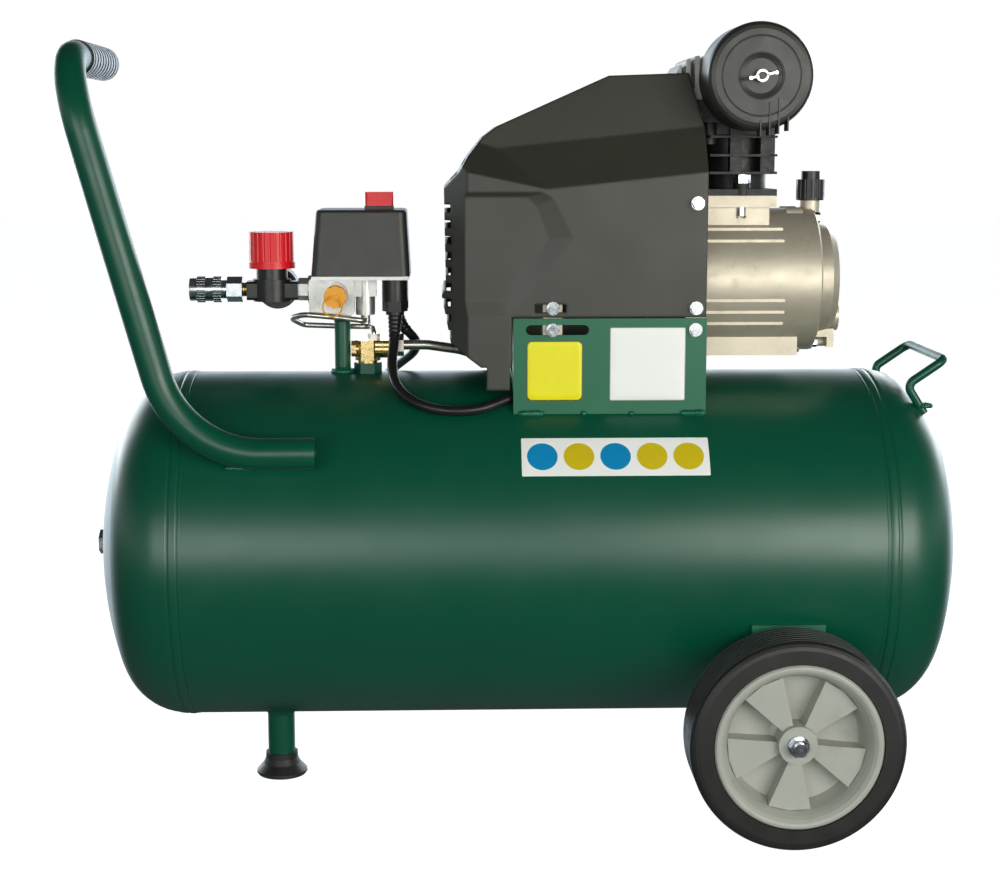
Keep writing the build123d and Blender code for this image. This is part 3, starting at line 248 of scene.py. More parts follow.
yellow = surface("yellow_plastic", srgb(245, 168, 6), 0.35, grain=1200, depth=0.02, tone=0.08, blotch=80,
                 patch=0.06)
rim_plastic = surface("rim_plastic", srgb(176, 178, 168), 0.46, grain=900, depth=0.02, tone=0.035, blotch=16,
                      patch=0.04, dust_and_sheen=(srgb(120, 122, 114), 40, 0.25))
# The tyre's lighter specks are a painted sheen on the sidewall as well as dust
tyre_rubber = surface("tyre_rubber", srgb(34, 34, 32), 0.46, grain=1100, depth=0.03, tone=0.16, blotch=18,
                      patch=0.06, dust_and_sheen=(srgb(66, 64, 58), 34, 0.35))
rubber = surface("rubber", srgb(30, 30, 30), 0.5, grain=1300, depth=0.04, tone=0.15, blotch=50, patch=0.08)
grip_rubber = surface("grip_rubber", srgb(38, 40, 42), 0.33, grain=1300, depth=0.02, tone=0.12, blotch=60,
                      patch=0.06)
brass = surface("brass", (0.80, 0.60, 0.27, 1), 0.27, metal=1, grain=900, depth=0.06, tone=0.1, blotch=80,
                patch=0.1, dust_and_sheen=(srgb(110, 84, 44), 110, 0.4))
pipe_metal = surface("pipe_metal", (0.72, 0.68, 0.60, 1), 0.33, metal=1, grain=1500, depth=0.02, tone=0.08,
                     blotch=50, patch=0.08)
steel = surface("steel", (0.56, 0.56, 0.57, 1), 0.3, metal=1, grain=1500, depth=0.02, tone=0.08, blotch=70)
lamination = surface("lamination", (0.26, 0.26, 0.28, 1), 0.45, metal=0.6, grain=900, depth=0.02,
                     lines=("X", 0.7, 0.1), second=zone(X, CORE_END_X, srgb(150, 74, 32)))
foam = surface("foam", srgb(120, 120, 112), 0.85, grain=700, depth=0.6, tone=0.25, blotch=90)
cord_rubber = surface("cord_rubber", srgb(24, 24, 25), 0.38, grain=1300, depth=0.02, tone=0.12, blotch=60,
                      patch=0.07)
rust = surface("rusty_thread", srgb(112, 66, 40), 0.6, metal=0.3, grain=900, depth=0.12, tone=0.3, blotch=160)
dial_white = surface("dial_white", srgb(236, 236, 230), 0.5, grain=600, depth=0.005, tone=0.02, blotch=40)
ink = surface("ink", srgb(24, 24, 26), 0.5, grain=600, depth=0.005, tone=0.1)
label_yellow = surface("label_yellow", srgb(246, 236, 0), 0.4, grain=700, depth=0.006, tone=0.03, blotch=40)
label_edge = surface("label_edge", srgb(96, 92, 20), 0.45, grain=700, depth=0.005, tone=0.05)
label_white = surface("label_white", srgb(252, 252, 249), 0.42, grain=700, depth=0.006, tone=0.02, blotch=30)
label_grey = surface("label_grey", srgb(176, 174, 166), 0.5, grain=700, depth=0.005, tone=0.04)
label_blue = surface("label_blue", srgb(0, 138, 196), 0.42, grain=700, depth=0.005, tone=0.04)
label_amber = surface("label_amber", srgb(214, 190, 20), 0.42, grain=700, depth=0.005, tone=0.04)


def clear(name, colour, rough):
    made = bpy.data.materials.new(name)
    made.use_nodes = True
    tree = made.node_tree
    shader = tree.nodes["Principled BSDF"]
    coords = node(tree, "ShaderNodeTexCoord").outputs["Object"]
    tree.links.new(spread(tree, noise(tree, coords, 60), rough, rough + 0.06), shader.inputs["Roughness"])
    shader.inputs["Base Color"].default_value = colour
    shader.inputs["Transmission Weight"].default_value = 1.0
    shader.inputs["IOR"].default_value = 1.45
    return made


lens = clear("sight_lens", (0.93, 0.86, 0.62, 1), 0.06)
dial_glass = clear("dial_glass", (0.97, 0.98, 0.98, 1), 0.02)

FINISHES = {
    "tank_shell": paint, "tank_heads": paint, "inspection_plug": zinc, "drain_screw": brass,
    "front_leg": paint_rod, "front_foot": rubber, "push_handle": paint_rod, "handle_grip": grip_rubber,
    "lift_handle": paint_rod, "axle_brackets": paint_sheet, "wheel_bolts": zinc, "rim_right": rim_plastic,
    "rim_left": rim_plastic, "tyre_right": tyre_rubber, "tyre_left": tyre_rubber,
    "pump_bracket": paint_sheet, "hex_bolts": zinc, "shroud": plastic, "crankcase": alloy,
    "crankcase_cover": alloy, "sight_glass": lens, "oil_cap": plastic_small, "cylinder": black_casting,
    "valve_plate": black_casting, "cylinder_head": head_casting, "head_bolts": zinc, "crankshaft": steel,
    "connecting_rod": alloy_bright, "piston": alloy_bright, "bearings": steel, "stator": lamination,
    "rotor_core": steel, "motor_end_shield": alloy, "cooling_fan": plastic_small,
    "capacitor": plastic_small, "filter_body": filter_plastic, "filter_cover": filter_plastic,
    "filter_element": foam, "wing_nut": zinc, "delivery_pipe": pipe_metal, "standpipe": paint_rod,
    "switch_manifold": alloy_bright, "switch_cover": switch_plastic, "switch_knob": red,
    "cable_glands": plastic_small, "unloader_tube": pipe_metal, "check_valve": brass,
    "regulator_body": plastic_small, "regulator_knob": red, "coupling_body": zinc_dark,
    "coupling_sleeve": zinc, "gauge_cases": plastic_small, "gauge_needle_tank": ink,
    "gauge_needle_outlet": ink, "safety_valve": brass, "safety_valve_cap": yellow,
    "motor_lead": cord_rubber, "mains_lead": cord_rubber, "mains_coil": cord_rubber, "mains_plug": rubber,
}
for name, finish in FINISHES.items():
    slots = NODES[name].data.materials
    slots.clear()
    slots.append(finish)


# ---------------------------------------------------------------- shapes
def mesh_object(name, bm, material, body, slot=None, sharp=35):
    data = bpy.data.meshes.new(name)
    bmesh.ops.recalc_face_normals(bm, faces=bm.faces)
    bm.to_mesh(data)
    bm.free()
    data.polygons.foreach_set("use_smooth", [True] * len(data.polygons))
    data.set_sharp_from_angle(angle=math.radians(sharp))
    made = bpy.data.objects.new(name, data)
    bpy.context.scene.collection.objects.link(made)
    for each in material if isinstance(material, (list, tuple)) else [material]:
        data.materials.append(each)
    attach(made, body)
    if slot:
        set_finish(made, slot)
    return made


def turning(axis):
    """Matrix whose columns are the two cross directions and the axis."""
    return {"x": Matrix(((0, 0, 1), (1, 0, 0), (0, 1, 0))),
            "y": Matrix(((0, 1, 0), (0, 0, 1), (1, 0, 0))),
            "z": Matrix.Identity(3)}[axis]


def bridge(bm, rings, closed=False):
    """Quads between neighbouring rings of equal length."""
    for lower, upper in zip(rings, rings[1:] + (rings[:1] if closed else [])):
        for i in range(len(lower)):
            j = (i + 1) % len(lower)
            bm.faces.new((lower[i], lower[j], upper[j], upper[i]))


def turned_rings(bm, profile, centre, axis, segments):
    """Rings of vertices round an axis, from (distance, radius) pairs in mm."""
    turn = turning(axis)
    rings = []
    for distance, radius in profile:
        ring = []
        for i in range(segments):
            a = 2 * math.pi * i / segments
            local = Vector((radius * math.cos(a), radius * math.sin(a), distance))
            ring.append(bm.verts.new((Vector(centre) + turn @ local) * MM))
        rings.append(ring)
    return rings


def lathe(name, profile, centre, axis, material, slot, segments=64):
    """A ring-shaped solid of revolution from a closed profile."""
    bm = bmesh.new()
    bridge(bm, turned_rings(bm, profile, centre, axis, segments), closed=True)
    return mesh_object(name, bm, material, "tank", slot)


def disc_solid(name, profile, centre, axis, material, slot, segments=64):
    """A solid of revolution closed on its axis at both ends."""
    bm = bmesh.new()
    rings = turned_rings(bm, profile, centre, axis, segments)
    bridge(bm, rings)
    bm.faces.new(rings[0])
    bm.faces.new(rings[-1])
    return mesh_object(name, bm, material, "tank", slot)


def tube_rings(bm, points, radii, sides=10, closed=False):
    """A tube along points, with its own radius at each."""
    count = len(points)
    rings = []
    up = None
    for i, point in enumerate(points):
        before = points[i - 1] if closed or i else point
        after = points[(i + 1) % count] if closed or i < count - 1 else point
        along = (after - before).normalized()
        if up is None:
            up = along.orthogonal().normalized()
        up = (up - along * up.dot(along)).normalized()
        side = along.cross(up)
        rings.append([bm.verts.new(point + (up * math.cos(t) + side * math.sin(t)) * radii[i])
                      for t in (2 * math.pi * k / sides for k in range(sides))])
    bridge(bm, rings, closed)
    if not closed:
        bm.faces.new(list(reversed(rings[0])))
        bm.faces.new(rings[-1])


WELD_RIPPLE = 2.2


def weld(point_at, start, end, radius, closed=False, seed=1):
    """A weld bead: overlapping ripples along a path given by a function of mm distance."""
    luck = random.Random(seed)
    steps = max(6, int((end - start) / (WELD_RIPPLE / 4)))
    points, radii = [], []
    drift = luck.random() * 6
    for i in range(steps + (0 if closed else 1)):
        t = start + (end - start) * i / steps
        phase = (t / WELD_RIPPLE) % 1
        swell = 0.84 + 0.2 * math.sin(math.pi * phase) + 0.06 * math.sin(t * 0.31 + drift)
        if not closed:
            taper = radius * 1.6
            edge = min(1.0, (t - start) / taper + 0.25, (end - t) / taper + 0.25)
            swell *= math.sqrt(max(edge, 0.05))
        points.append(Vector(point_at(t)) * MM)
        radii.append(radius * swell * MM)
    bm = bmesh.new()
    tube_rings(bm, points, radii, closed=closed)
    return mesh_object("bead", bm, weld_paint, "tank", "tank_paint", sharp=60)


def join(name, objects):
    """One piece out of several built in a row."""
    bm = bmesh.new()
    for obj in objects:
        bm.from_mesh(obj.data)
    first = objects[0]
    slot, body, finish = first.get("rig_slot"), first["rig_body"], list(first.data.materials)
    for obj in objects:
        bpy.data.objects.remove(obj)
    return mesh_object(name, bm, finish, body, slot, sharp=60)


def on_tank(x, angle, lift=0.0):
    """A point of the barrel at X mm and an angle above the near side, in mm."""
    a = math.radians(angle)
    return (x, -(TANK_R + lift) * math.cos(a), TANK_Z + (TANK_R + lift) * math.sin(a))


PLATE_SUNK = -0.2


def outline_plate(name, outline, place, thickness, material, slot, rings=6):
    """A thin plate: an outline filled towards its middle, each point placed by a function of (u, v, lift)."""
    bm = bmesh.new()
    n = len(outline)
    middle = (sum(p[0] for p in outline) / n, sum(p[1] for p in outline) / n)
    loops = [[bm.verts.new(Vector(place(u, v, lift)) * MM) for u, v in outline]
             for lift in (PLATE_SUNK, thickness * 0.6)]
    for i in range(rings):
        k = 1 - 0.008 - i / rings
        loops.append([bm.verts.new(Vector(place(middle[0] + (u - middle[0]) * k,
                                                middle[1] + (v - middle[1]) * k, thickness)) * MM)
                      for u, v in outline])
    bridge(bm, loops)
    bm.faces.new(loops[-1])
    bm.faces.new(list(reversed(loops[0])))
    return mesh_object(name, bm, material, "tank", slot)


def between(a, b, count):
    """The points that split a straight side into a number of parts."""
    return [(a[0] + (b[0] - a[0]) * s / count, a[1] + (b[1] - a[1]) * s / count) for s in range(1, count)]


def rounded_rect(u0, u1, v0, v1, radius, corner=6, straight=10):
    """Outline points of a rounded rectangle, with points along its straight sides."""
    points = []
    corners = ((u1 - radius, v1 - radius, 0), (u0 + radius, v1 - radius, 90),
               (u0 + radius, v0 + radius, 180), (u1 - radius, v0 + radius, 270))
    for cu, cv, first in corners:
        angles = [math.radians(first + 90 * i / corner) for i in range(corner + 1)]
        arc = [(cu + radius * math.cos(a), cv + radius * math.sin(a)) for a in angles]
        if points:
            points += between(points[-1], arc[0], straight)
        points += arc
    return points + between(points[-1], points[0], straight)


def circle(u, v, radius, n=36):
    angles = [2 * math.pi * i / n for i in range(n)]
    return [(u + radius * math.cos(a), v + radius * math.sin(a)) for a in angles]


# ---------------------------------------------------------------- leads
def cord_curve(name, points, body, slot, *nodes):
    data = bpy.data.curves.new(name, "CURVE")
    data.dimensions = "3D"
    data.bevel_depth = CORD_D / 2
    data.bevel_resolution = 5
    data.resolution_u = 8
    data.use_fill_caps = True
    spline = data.splines.new("NURBS")
    spline.points.add(len(points) - 1)
    for point, place in zip(spline.points, points):
        point.co = (place[0], place[1], place[2], 1)
    spline.order_u = 3
    spline.use_endpoint_u = True
    made = bpy.data.objects.new(name, data)
    bpy.context.scene.collection.objects.link(made)
    data.materials.append(cord_rubber)
    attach(made, body)
    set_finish(made, slot)
    if nodes:
        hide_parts(*nodes)
    return made


MOTOR_ROUTE = [(-0.112, -0.014, 0.415), (-0.1125, -0.020, 0.394), (-0.115, -0.040, 0.374),
               (-0.111, -0.062, 0.359), (-0.097, -0.079, 0.348), (-0.078, -0.0875, 0.3425),
               (-0.057, -0.0895, 0.341), (-0.037, -0.0865, 0.343), (-0.021, -0.078, 0.3485),
               (-0.009, -0.072, 0.3515), (0.004, -0.069, 0.3535)]
MAINS_ROUTE = [(-0.112, 0.014, 0.415), (-0.1075, 0.015, 0.403), (-0.0985, 0.018, 0.3945),
               (-0.0935, 0.026, 0.386), (-0.097, 0.037, 0.3765), (-0.107, 0.052, 0.3675),
               (-0.121, 0.074, 0.3545), (-0.136, 0.101, 0.335), (-0.148, 0.129, 0.304),
               (-0.155, 0.153, 0.258), (-0.155, 0.170, 0.205), (-0.149, 0.181, 0.150),
               (-0.138, 0.190, 0.098), (-0.122, 0.201, 0.056), (-0.099, 0.213, 0.027),
               (-0.070, 0.223, 0.010), (-0.038, 0.2275, 0.0046), (0.0, 0.228, 0.0046)]
COIL_MIDDLE = (0.024, 0.271)
# Radius and height at the start of each turn, and at the end of the last, from the floor up
COIL_TURNS = [(0.0430, 0.0046), (0.0355, 0.0048), (0.0395, 0.0126), (0.0475, 0.0130), (0.0440, 0.0205)]
PLUG_ROUTE = [(0.036, 0.2275, 0.0212), (0.050, 0.228, 0.0205), (0.062, 0.2278, 0.0135),
              (0.078, 0.2275, 0.0062), (0.092, 0.228, 0.0052), (0.106, 0.229, 0.0075),
              (0.130, 0.232, 0.0135), (0.150, 0.234, 0.0185), (0.172, 0.2346, 0.0195)]


EASE_FROM = 0.62


def coil_points(per_turn=14):
    """Control points of the turns, easing from one turn's place to the next over its last third."""
    made = []
    for turn, (radius, height) in enumerate(COIL_TURNS[:-1]):
        after = COIL_TURNS[turn + 1]
        for i in range(per_turn):
            share = i / per_turn
            ease = min(1.0, max(0.0, (share - EASE_FROM) / (1 - EASE_FROM)))
            ease = ease * ease * (3 - 2 * ease)
            r = radius + (after[0] - radius) * ease + 0.0006 * math.sin(turn * 2.1 + i * 0.9)
            z = height + (after[1] - height) * ease
            a = math.radians(-90 + 360 * share)
            made.append((COIL_MIDDLE[0] + r * math.cos(a), COIL_MIDDLE[1] + r * math.sin(a), z))
    return made


motor_cord = cord_curve("motor_cord", MOTOR_ROUTE, "tank", "cord", "motor_lead")
mains_cord = cord_curve("mains_cord", MAINS_ROUTE + coil_points() + PLUG_ROUTE, "tank", "cord", "mains_lead",
                        "mains_coil")

# Strain reliefs: ribbed tapered sleeves below the glands and behind the plug
RELIEF_STEPS = 22
RELIEF_RIB = 0.35


def cord_polyline(name):
    """Points of a cord's own spline, and their distances along it (m)."""
    plain = bpy.data.objects[name].data.copy()
    plain.bevel_depth = 0
    temp = bpy.data.objects.new("temp", plain)
    bpy.context.scene.collection.objects.link(temp)
    bpy.context.view_layer.update()
    mesh = bpy.data.meshes.new_from_object(temp.evaluated_get(bpy.context.evaluated_depsgraph_get()))
    points = [v.co.copy() for v in mesh.vertices]
    bpy.data.objects.remove(temp)
    lengths = [0.0]
    for a, b in zip(points, points[1:]):
        lengths.append(lengths[-1] + (b - a).length)
    return points, lengths


def stretch(points, lengths, start, end, count):
    """Points between two distances (m) along a polyline."""
    made = []
    for i in range(count):
        want = start + (end - start) * i / (count - 1)
        k = max(j for j in range(len(lengths) - 1) if lengths[j] <= want)
        run = lengths[k + 1] - lengths[k]
        made.append(points[k].lerp(points[k + 1], (want - lengths[k]) / run if run else 0))
    return made


def relief(name, cord_name, length, wide, narrow, from_end=False):
    """A ribbed sleeve round one end of a cord, its radii in mm and its length in metres."""
    points, lengths = cord_polyline(cord_name)
    if from_end:
        total = lengths[-1]
        points = points[::-1]
        lengths = [total - v for v in lengths][::-1]
    path = stretch(points, lengths, 0.0, length, RELIEF_STEPS)
    radii = []
    for i in range(RELIEF_STEPS):
        share = i / (RELIEF_STEPS - 1)
        rib = RELIEF_RIB if (i % 4) in (1, 2) and 0 < i < RELIEF_STEPS - 2 else 0
        radii.append(wide + (narrow - wide) * share - rib)
    bm = bmesh.new()
    tube_rings(bm, path, [r * MM for r in radii], 20)
    return mesh_object(name, bm, cord_rubber, "tank", "cord", sharp=50)


motor_relief = relief("motor_strain_relief", "motor_cord", 0.020, 6.4, 4.75)
mains_relief = relief("mains_strain_relief", "mains_cord", 0.020, 6.4, 4.75)
plug_relief = relief("plug_strain_relief", "mains_cord", 0.034, 7.6, 4.8, from_end=True)

# The plug: a moulded body with finger ribs, flattened above and below, and two pins
PLUG_SIDES = 64
PLUG_FACE = 54
PIN_SPREAD = 9.5


def plug_body():
    bm = bmesh.new()
    profile = [(1, 6.4), (4, 7.4), (12, 8.2), (17, 9.0), (20.5, 12.8), (23.5, 16.6), (27, 18.1), (31, 18.5),
               (34, 17.4), (36, 17.4), (38, 18.5), (41, 17.4), (43, 17.4), (45, 18.5), (51, 18.7),
               (53.2, 18.2), (PLUG_FACE, 17.2), (PLUG_FACE, 10)]
    rings = []
    for distance, radius in profile:
        ring = []
        for i in range(PLUG_SIDES):
            a = 2 * math.pi * i / PLUG_SIDES
            flat = 0.9 if abs(math.sin(a)) > 0.94 and distance > 30 else 1.0
            out = Vector((distance, radius * flat * math.cos(a), radius * flat * math.sin(a)))
            ring.append(bm.verts.new((PLUG + out) * MM))
        rings.append(ring)
    bridge(bm, rings)
    bm.faces.new(rings[0])
    bm.faces.new(rings[-1])
    return mesh_object("plug_body", bm, rubber, "tank", "rubber", sharp=50)


plug_shell = plug_body()
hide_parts("mains_plug")
pins = []
for side in (-1, 1):
    centre = PLUG + Vector((PLUG_FACE, side * PIN_SPREAD, 0))
    pins.append(disc_solid("pin", [(-1, 2.35), (16.5, 2.35), (18, 2.0), (18.9, 1.1)], centre, "x", zinc,
                           slot="zinc", segments=24))
plug_pins = join("plug_pins", pins)


# ---------------------------------------------------------------- welds and seams
def straight_weld(y, z, start, end, radius, seed):
    """A bead along X."""
    return weld(lambda t: (t, y, z), start, end, radius, seed=seed)


def ring_weld(x, y, z, post, radius, seed):
    """A bead all round an upright post."""
    return weld(lambda t: (x + post * math.cos(t / post), y + post * math.sin(t / post), z),
                0, 2 * math.pi * post, radius, closed=True, seed=seed)


HANDLE_ANGLES = (35.0, 40.4)
BRACKET_BEADS = ((-1, -8, 13), (-1, 127, 148), (1, -8, 13), (1, 127, 148), (-1, 44, 48), (-1, 84, 88))
AXLE_BEADS = ((-1, 180, 196), (-1, 226, 241), (1, 180, 196), (1, 226, 241))
bracket_z = TANK_Z + math.sqrt((TANK_R + 1) ** 2 - BRACKET_Y ** 2)
join("handle_welds", [straight_weld(*on_tank(0, angle, 1.2)[1:], -248, -178, 2.6, k)
                      for k, angle in enumerate(HANDLE_ANGLES)])
join("bracket_welds", [straight_weld(side * BRACKET_Y, bracket_z, low, high, 3.0, k)
                       for k, (side, low, high) in enumerate(BRACKET_BEADS)])
join("axle_welds", [straight_weld(side * AXLE_Y, TANK_Z - AXLE_DROP, low, high, 2.0, k)
                    for k, (side, low, high) in enumerate(AXLE_BEADS)])


def seam(name, inner, outer, seed):
    """A flat girth weld between two X positions in mm, with ripples and a sunk line along each edge."""
    luck = random.Random(seed)
    waves = [(luck.uniform(2, 40), luck.uniform(0, 6.3), luck.uniform(0.4, 1)) for _ in range(7)]
    side = 1 if outer > inner else -1
    width = abs(outer - inner)
    sunk = -0.12
    # Distance outwards from the inner edge, and height above the barrel
    profile = [(-2.6, sunk), (-1.6, 0.2), (-0.55, 0.3), (-0.35, sunk), (0.35, sunk), (0.6, 0.34),
               (width * 0.3, 0.62), (width * 0.5, 0.7), (width * 0.7, 0.62), (width - 1.0, 0.4),
               (width - 0.7, sunk), (width + 0.4, sunk), (width + 0.75, 0.5), (width + 2.2, 0.42),
               (width + 4.6, 0.14), (width + 6.5, sunk)]
    bm = bmesh.new()
    count = 720
    rings = []
    for i in range(count):
        a = 2 * math.pi * i / count
        drift = sum(h * math.sin(a * k + p) for k, p, h in waves) * 0.09
        ripple = 0.1 * math.sin(a * TANK_R / 2.3 * 2 * math.pi)
        ring = []
        for x, lift in profile:
            if lift > 0 and 1 < x < width - 1.2:
                lift += ripple
            radius = TANK_R + lift
            ring.append(bm.verts.new(Vector((inner + side * (x + drift), -radius * math.cos(a),
                                             TANK_Z + radius * math.sin(a))) * MM))
        rings.append(ring)
    bridge(bm, rings, closed=True)
    return mesh_object(name, bm, paint, "tank", "tank_paint", sharp=70)


for name, inner, outer, seed in SEAMS:
    seam(name, inner, outer, seed)
join("standpipe_weld", [ring_weld(STANDPIPE_X, 0, 364.6, STANDPIPE_R, 2.1, 3)])
join("leg_weld", [ring_weld(LEG_X, 0, 63.6, LEG_R, 2.0, 4)])
join("lift_welds", [ring_weld(LIFT_X, side * LIFT_Y, 340.6, LIFT_R, 2.1, k)
                    for k, side in enumerate((-1, 1))])

# ---------------------------------------------------------------- plain plates in place of the labels
STRIP_ANGLE, STRIP_HALF = 38.8, 17.8
DOT_R = 12.6


def on_cheek(u, v, lift):
    return (u, CHEEK_Y - lift, v)


def on_strip(u, v, lift):
    return on_tank(u, STRIP_ANGLE + math.degrees(v / TANK_R), lift)


def bordered_plate(name, u0, u1, v0, v1, radii, border, edge, face, slot):
    """A plate on the bracket's cheek with a border of another colour."""
    outer = rounded_rect(u0, u1, v0, v1, radii[0])
    inner = rounded_rect(u0 + border, u1 - border, v0 + border, v1 - border, radii[1])
    outline_plate(name, outer, on_cheek, 0.22, edge, slot)
    outline_plate(f"{name}_face", inner, on_cheek, 0.3, face, slot)


bordered_plate("rating_plate", -1.5, 45, 349, 399, (4.5, 4.0), 0.7,
               label_edge, label_yellow, "yellow_plastic")
bordered_plate("type_plate", 67.6, 130.4, 349, 410, (1.2, 1.0), 0.5,
               label_grey, label_white, "rim_plastic")
strip = rounded_rect(-7, 147, -STRIP_HALF, STRIP_HALF, 0.8, straight=24)
outline_plate("notice_strip", strip, on_strip, 0.25, label_white, "rim_plastic", rings=10)
for i, colour in enumerate((label_blue, label_amber, label_blue, label_amber, label_amber)):
    outline_plate(f"notice_dot_{i}", circle(10 + 30 * i, 0, DOT_R), on_strip, 0.34, colour, "rim_plastic")


# ---------------------------------------------------------------- small fittings
def thread(name, start, end, pitch, turns, root, crest, bore, centre, axis, material, slot):
    """A threaded sleeve between two distances along its axis."""
    profile = [(start + i * pitch + d, root if d == 0 else crest)
               for i in range(turns) for d in (0, pitch / 2)]
    profile += [(end, root), (end, bore), (start, bore)]
    lathe(name, profile, centre, axis, material, slot=slot)


thread("standpipe_thread", 408, 417.8, 1.2, 8, 6.9, 7.6, 5, (STANDPIPE_X, 0, 0), "z", rust, "tank_paint")
thread("nipple_thread", -243.6, -239.2, 0.9, 5, 5.9, 6.45, 5.2, (0, 0, OUTLET_Z), "x", brass, "brass")

DIAL_R = 16.1
TICK_OUTER = 14.2
FIGURE_R = 8.1
SCALE_START, SCALE_STEP, SCALE_TICKS, FIGURES = 225, 9, 31, 7
TICKS_PER_FIGURE = 5


def gauge_ticks(name, x, y, z):
    bm = bmesh.new()
    for i in range(SCALE_TICKS):
        a = math.radians(SCALE_START - i * SCALE_STEP)
        inner, half = (10.8, 0.34) if i % TICKS_PER_FIGURE == 0 else (12.4, 0.16)
        across = Vector((-math.sin(a), 0, math.cos(a)))
        out = Vector((math.cos(a), 0, math.sin(a)))
        corners = []
        for radius in (inner, TICK_OUTER):
            for sign in (-1, 1):
                p = out * radius + across * half * sign
                corners.append(Vector((x - p.x, y + 0.56, z + p.z)) * MM)
        low = [bm.verts.new(c) for c in corners]
        high = [bm.verts.new(c + Vector((0, 0.00006, 0))) for c in corners]
        bm.faces.new([low[k] for k in (0, 1, 3, 2)])
        bm.faces.new([high[k] for k in (0, 1, 3, 2)])
        for k, m in ((0, 1), (1, 3), (3, 2), (2, 0)):
            bm.faces.new((low[k], low[m], high[m], high[k]))
    mesh_object(f"{name}_ticks", bm, ink, "tank", "needle")


def gauge(name, x, y, z, top):
    """Dial, tick marks, numbers and glass of a gauge that faces +Y."""
    disc_solid(f"{name}_dial", [(0, DIAL_R), (0.5, DIAL_R)], (x, y, z), "y", dial_white, slot="rim_plastic")
    gauge_ticks(name, x, y, z)
    for k in range(FIGURES):
        a = math.radians(SCALE_START - k * SCALE_STEP * TICKS_PER_FIGURE)
        text = bpy.data.curves.new(f"{name}_figure_{k}", "FONT")
        text.body = str(int(top * k / (FIGURES - 1)))
        text.size = 2.9 * MM
        text.align_x, text.align_y = "CENTER", "CENTER"
        text.extrude = 0.03 * MM
        made = bpy.data.objects.new(f"{name}_figure_{k}", text)
        bpy.context.scene.collection.objects.link(made)
        made.rotation_euler = (math.radians(90), 0, math.radians(180))
        made.location = Vector((x - FIGURE_R * math.cos(a), y + 0.6, z + FIGURE_R * math.sin(a))) * MM
        text.materials.append(ink)
        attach(made, "tank")
        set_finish(made, "needle")
    disc_solid(f"{name}_glass", [(0, 16.15), (0.9, 16.15), (1.0, 15.6)], (x, y + 3.7, z), "y", dial_glass,
               slot="lens")
    lathe(f"{name}_bezel", [(-0.2, 16.2), (-0.2, 18.1), (0.7, 18.2), (1.3, 17.7), (1.3, 16.4), (0.6, 15.8)],
          (x, y + 4.6, z), "y", zinc, slot="zinc")


for name, place in (("tank_gauge", (-162.0, 52.55, 432.0)), ("outlet_gauge", (-216.0, 39.05, 435.0))):
    gauge(name, *place, top=12)

# ---------------------------------------------------------------- floor, world, lights
floor_mesh = bmesh.new()
bmesh.ops.create_grid(floor_mesh, x_segments=2, y_segments=2, size=14)
floor_data = bpy.data.meshes.new("floor")
floor_mesh.to_mesh(floor_data)
floor_mesh.free()
floor = bpy.data.objects.new("floor", floor_data)
floor.location = (0, 0, -0.0006)
bpy.context.scene.collection.objects.link(floor)
floor_material = bpy.data.materials.new("floor_white")
floor_material.use_nodes = True
floor_shader = floor_material.node_tree.nodes["Principled BSDF"]
floor_shader.inputs["Base Color"].default_value = (0.5, 0.5, 0.5, 1)
floor_shader.inputs["Roughness"].default_value = 0.9
floor_shader.inputs["Specular IOR Level"].default_value = 0.0
floor_shader.inputs["Emission Color"].default_value = (1, 1, 1, 1)
floor_shader.inputs["Emission Strength"].default_value = 0.93
floor_data.materials.append(floor_material)
floor.visible_diffuse = False
floor.visible_glossy = False
floor.visible_transmission = False

world = bpy.data.worlds.new("studio")
bpy.context.scene.world = world
world.use_nodes = True
tree = world.node_tree
background = tree.nodes["Background"]
direction = node(tree, "ShaderNodeTexCoord").outputs["Generated"]
split = node(tree, "ShaderNodeSeparateXYZ")
tree.links.new(direction, split.inputs[0])
ramp = node(tree, "ShaderNodeValToRGB")
ramp.color_ramp.elements[0].position = 0.0
ramp.color_ramp.elements[0].color = (0.12, 0.15, 0.17, 1)
ramp.color_ramp.elements[1].position = 1.0
ramp.color_ramp.elements[1].color = (0.05, 0.055, 0.06, 1)
# Brightness of the studio by height, from below (0) over the horizon (0.5) to above (1)
LEVELS = ((0.2, 0.09), (0.38, 0.05), (0.46, 0.2), (0.52, 0.9), (0.60, 0.6), (0.68, 0.08), (0.82, 0.03))
for position, level in LEVELS:
    element = ramp.color_ramp.elements.new(position)
    element.color = (level * 0.86, level * 0.96, level, 1)
height = spread(tree, split.outputs[2], 0, 1, -1, 1)
tree.links.new(height, ramp.inputs[0])
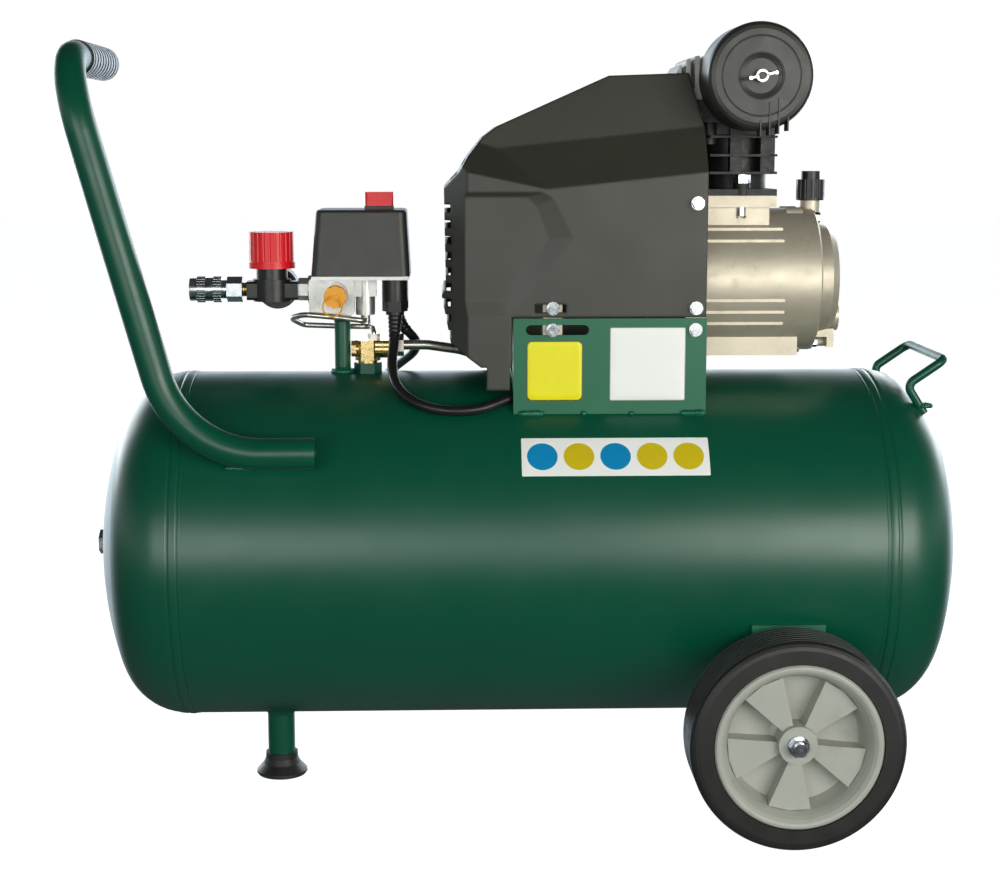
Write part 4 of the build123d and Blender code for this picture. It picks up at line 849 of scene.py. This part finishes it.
# A bright backdrop behind the object, level with the horizon
BACKDROP = (2.1, 2.4, 2.7, 1)
behind = node(tree, "ShaderNodeMath", operation="MULTIPLY")
tree.links.new(spread(tree, split.outputs[1], 0, 1, 0.5, 0.9), behind.inputs[0])
level_band = node(tree, "ShaderNodeMath", operation="ABSOLUTE")
tree.links.new(split.outputs[2], level_band.inputs[0])
tree.links.new(spread(tree, level_band.outputs[0], 1, 0, 0.15, 0.45), behind.inputs[1])
tree.links.new(mixed(tree, behind.outputs[0], ramp.outputs[0], BACKDROP), background.inputs["Color"])
background.inputs["Strength"].default_value = 1.0
white = node(tree, "ShaderNodeBackground")
white.inputs["Color"].default_value = (1, 1, 1, 1)
white.inputs["Strength"].default_value = 1.02
path = node(tree, "ShaderNodeLightPath")
choose = node(tree, "ShaderNodeMixShader")
tree.links.new(path.outputs["Is Camera Ray"], choose.inputs[0])
tree.links.new(background.outputs[0], choose.inputs[1])
tree.links.new(white.outputs[0], choose.inputs[2])
tree.links.new(choose.outputs[0], tree.nodes["World Output"].inputs["Surface"])


def softbox(name, azimuth, elevation, distance, width, height_m, radiance, colour=(1, 1, 1)):
    """An area light aimed at the object's middle. Azimuth 0 is in front and 90 on the right."""
    light = bpy.data.lights.new(name, "AREA")
    light.shape = "RECTANGLE"
    light.size, light.size_y = width, height_m
    light.energy = radiance * math.pi * width * height_m
    light.color = colour
    made = bpy.data.objects.new(name, light)
    a, e = math.radians(azimuth), math.radians(elevation)
    back = Vector((math.sin(a) * math.cos(e), -math.cos(a) * math.cos(e), math.sin(e)))
    made.location = Vector((0, 0, 0.33)) + back * distance
    made.rotation_euler = back.to_track_quat("Z", "Y").to_euler()
    bpy.context.scene.collection.objects.link(made)
    made.visible_camera = False
    return made


softbox("key", 30, 8, 2.3, 1.5, 0.9, 6.6, (1.0, 0.985, 0.92))
softbox("fill", -20, 7, 2.4, 1.5, 0.8, 3.4, (0.97, 0.99, 0.96))
softbox("back_right", 140, 12, 2.6, 1.6, 1.2, 4.5, (0.9, 0.96, 1.0))
softbox("back_left", -140, 12, 2.6, 1.6, 1.2, 4.5, (0.9, 0.96, 1.0))
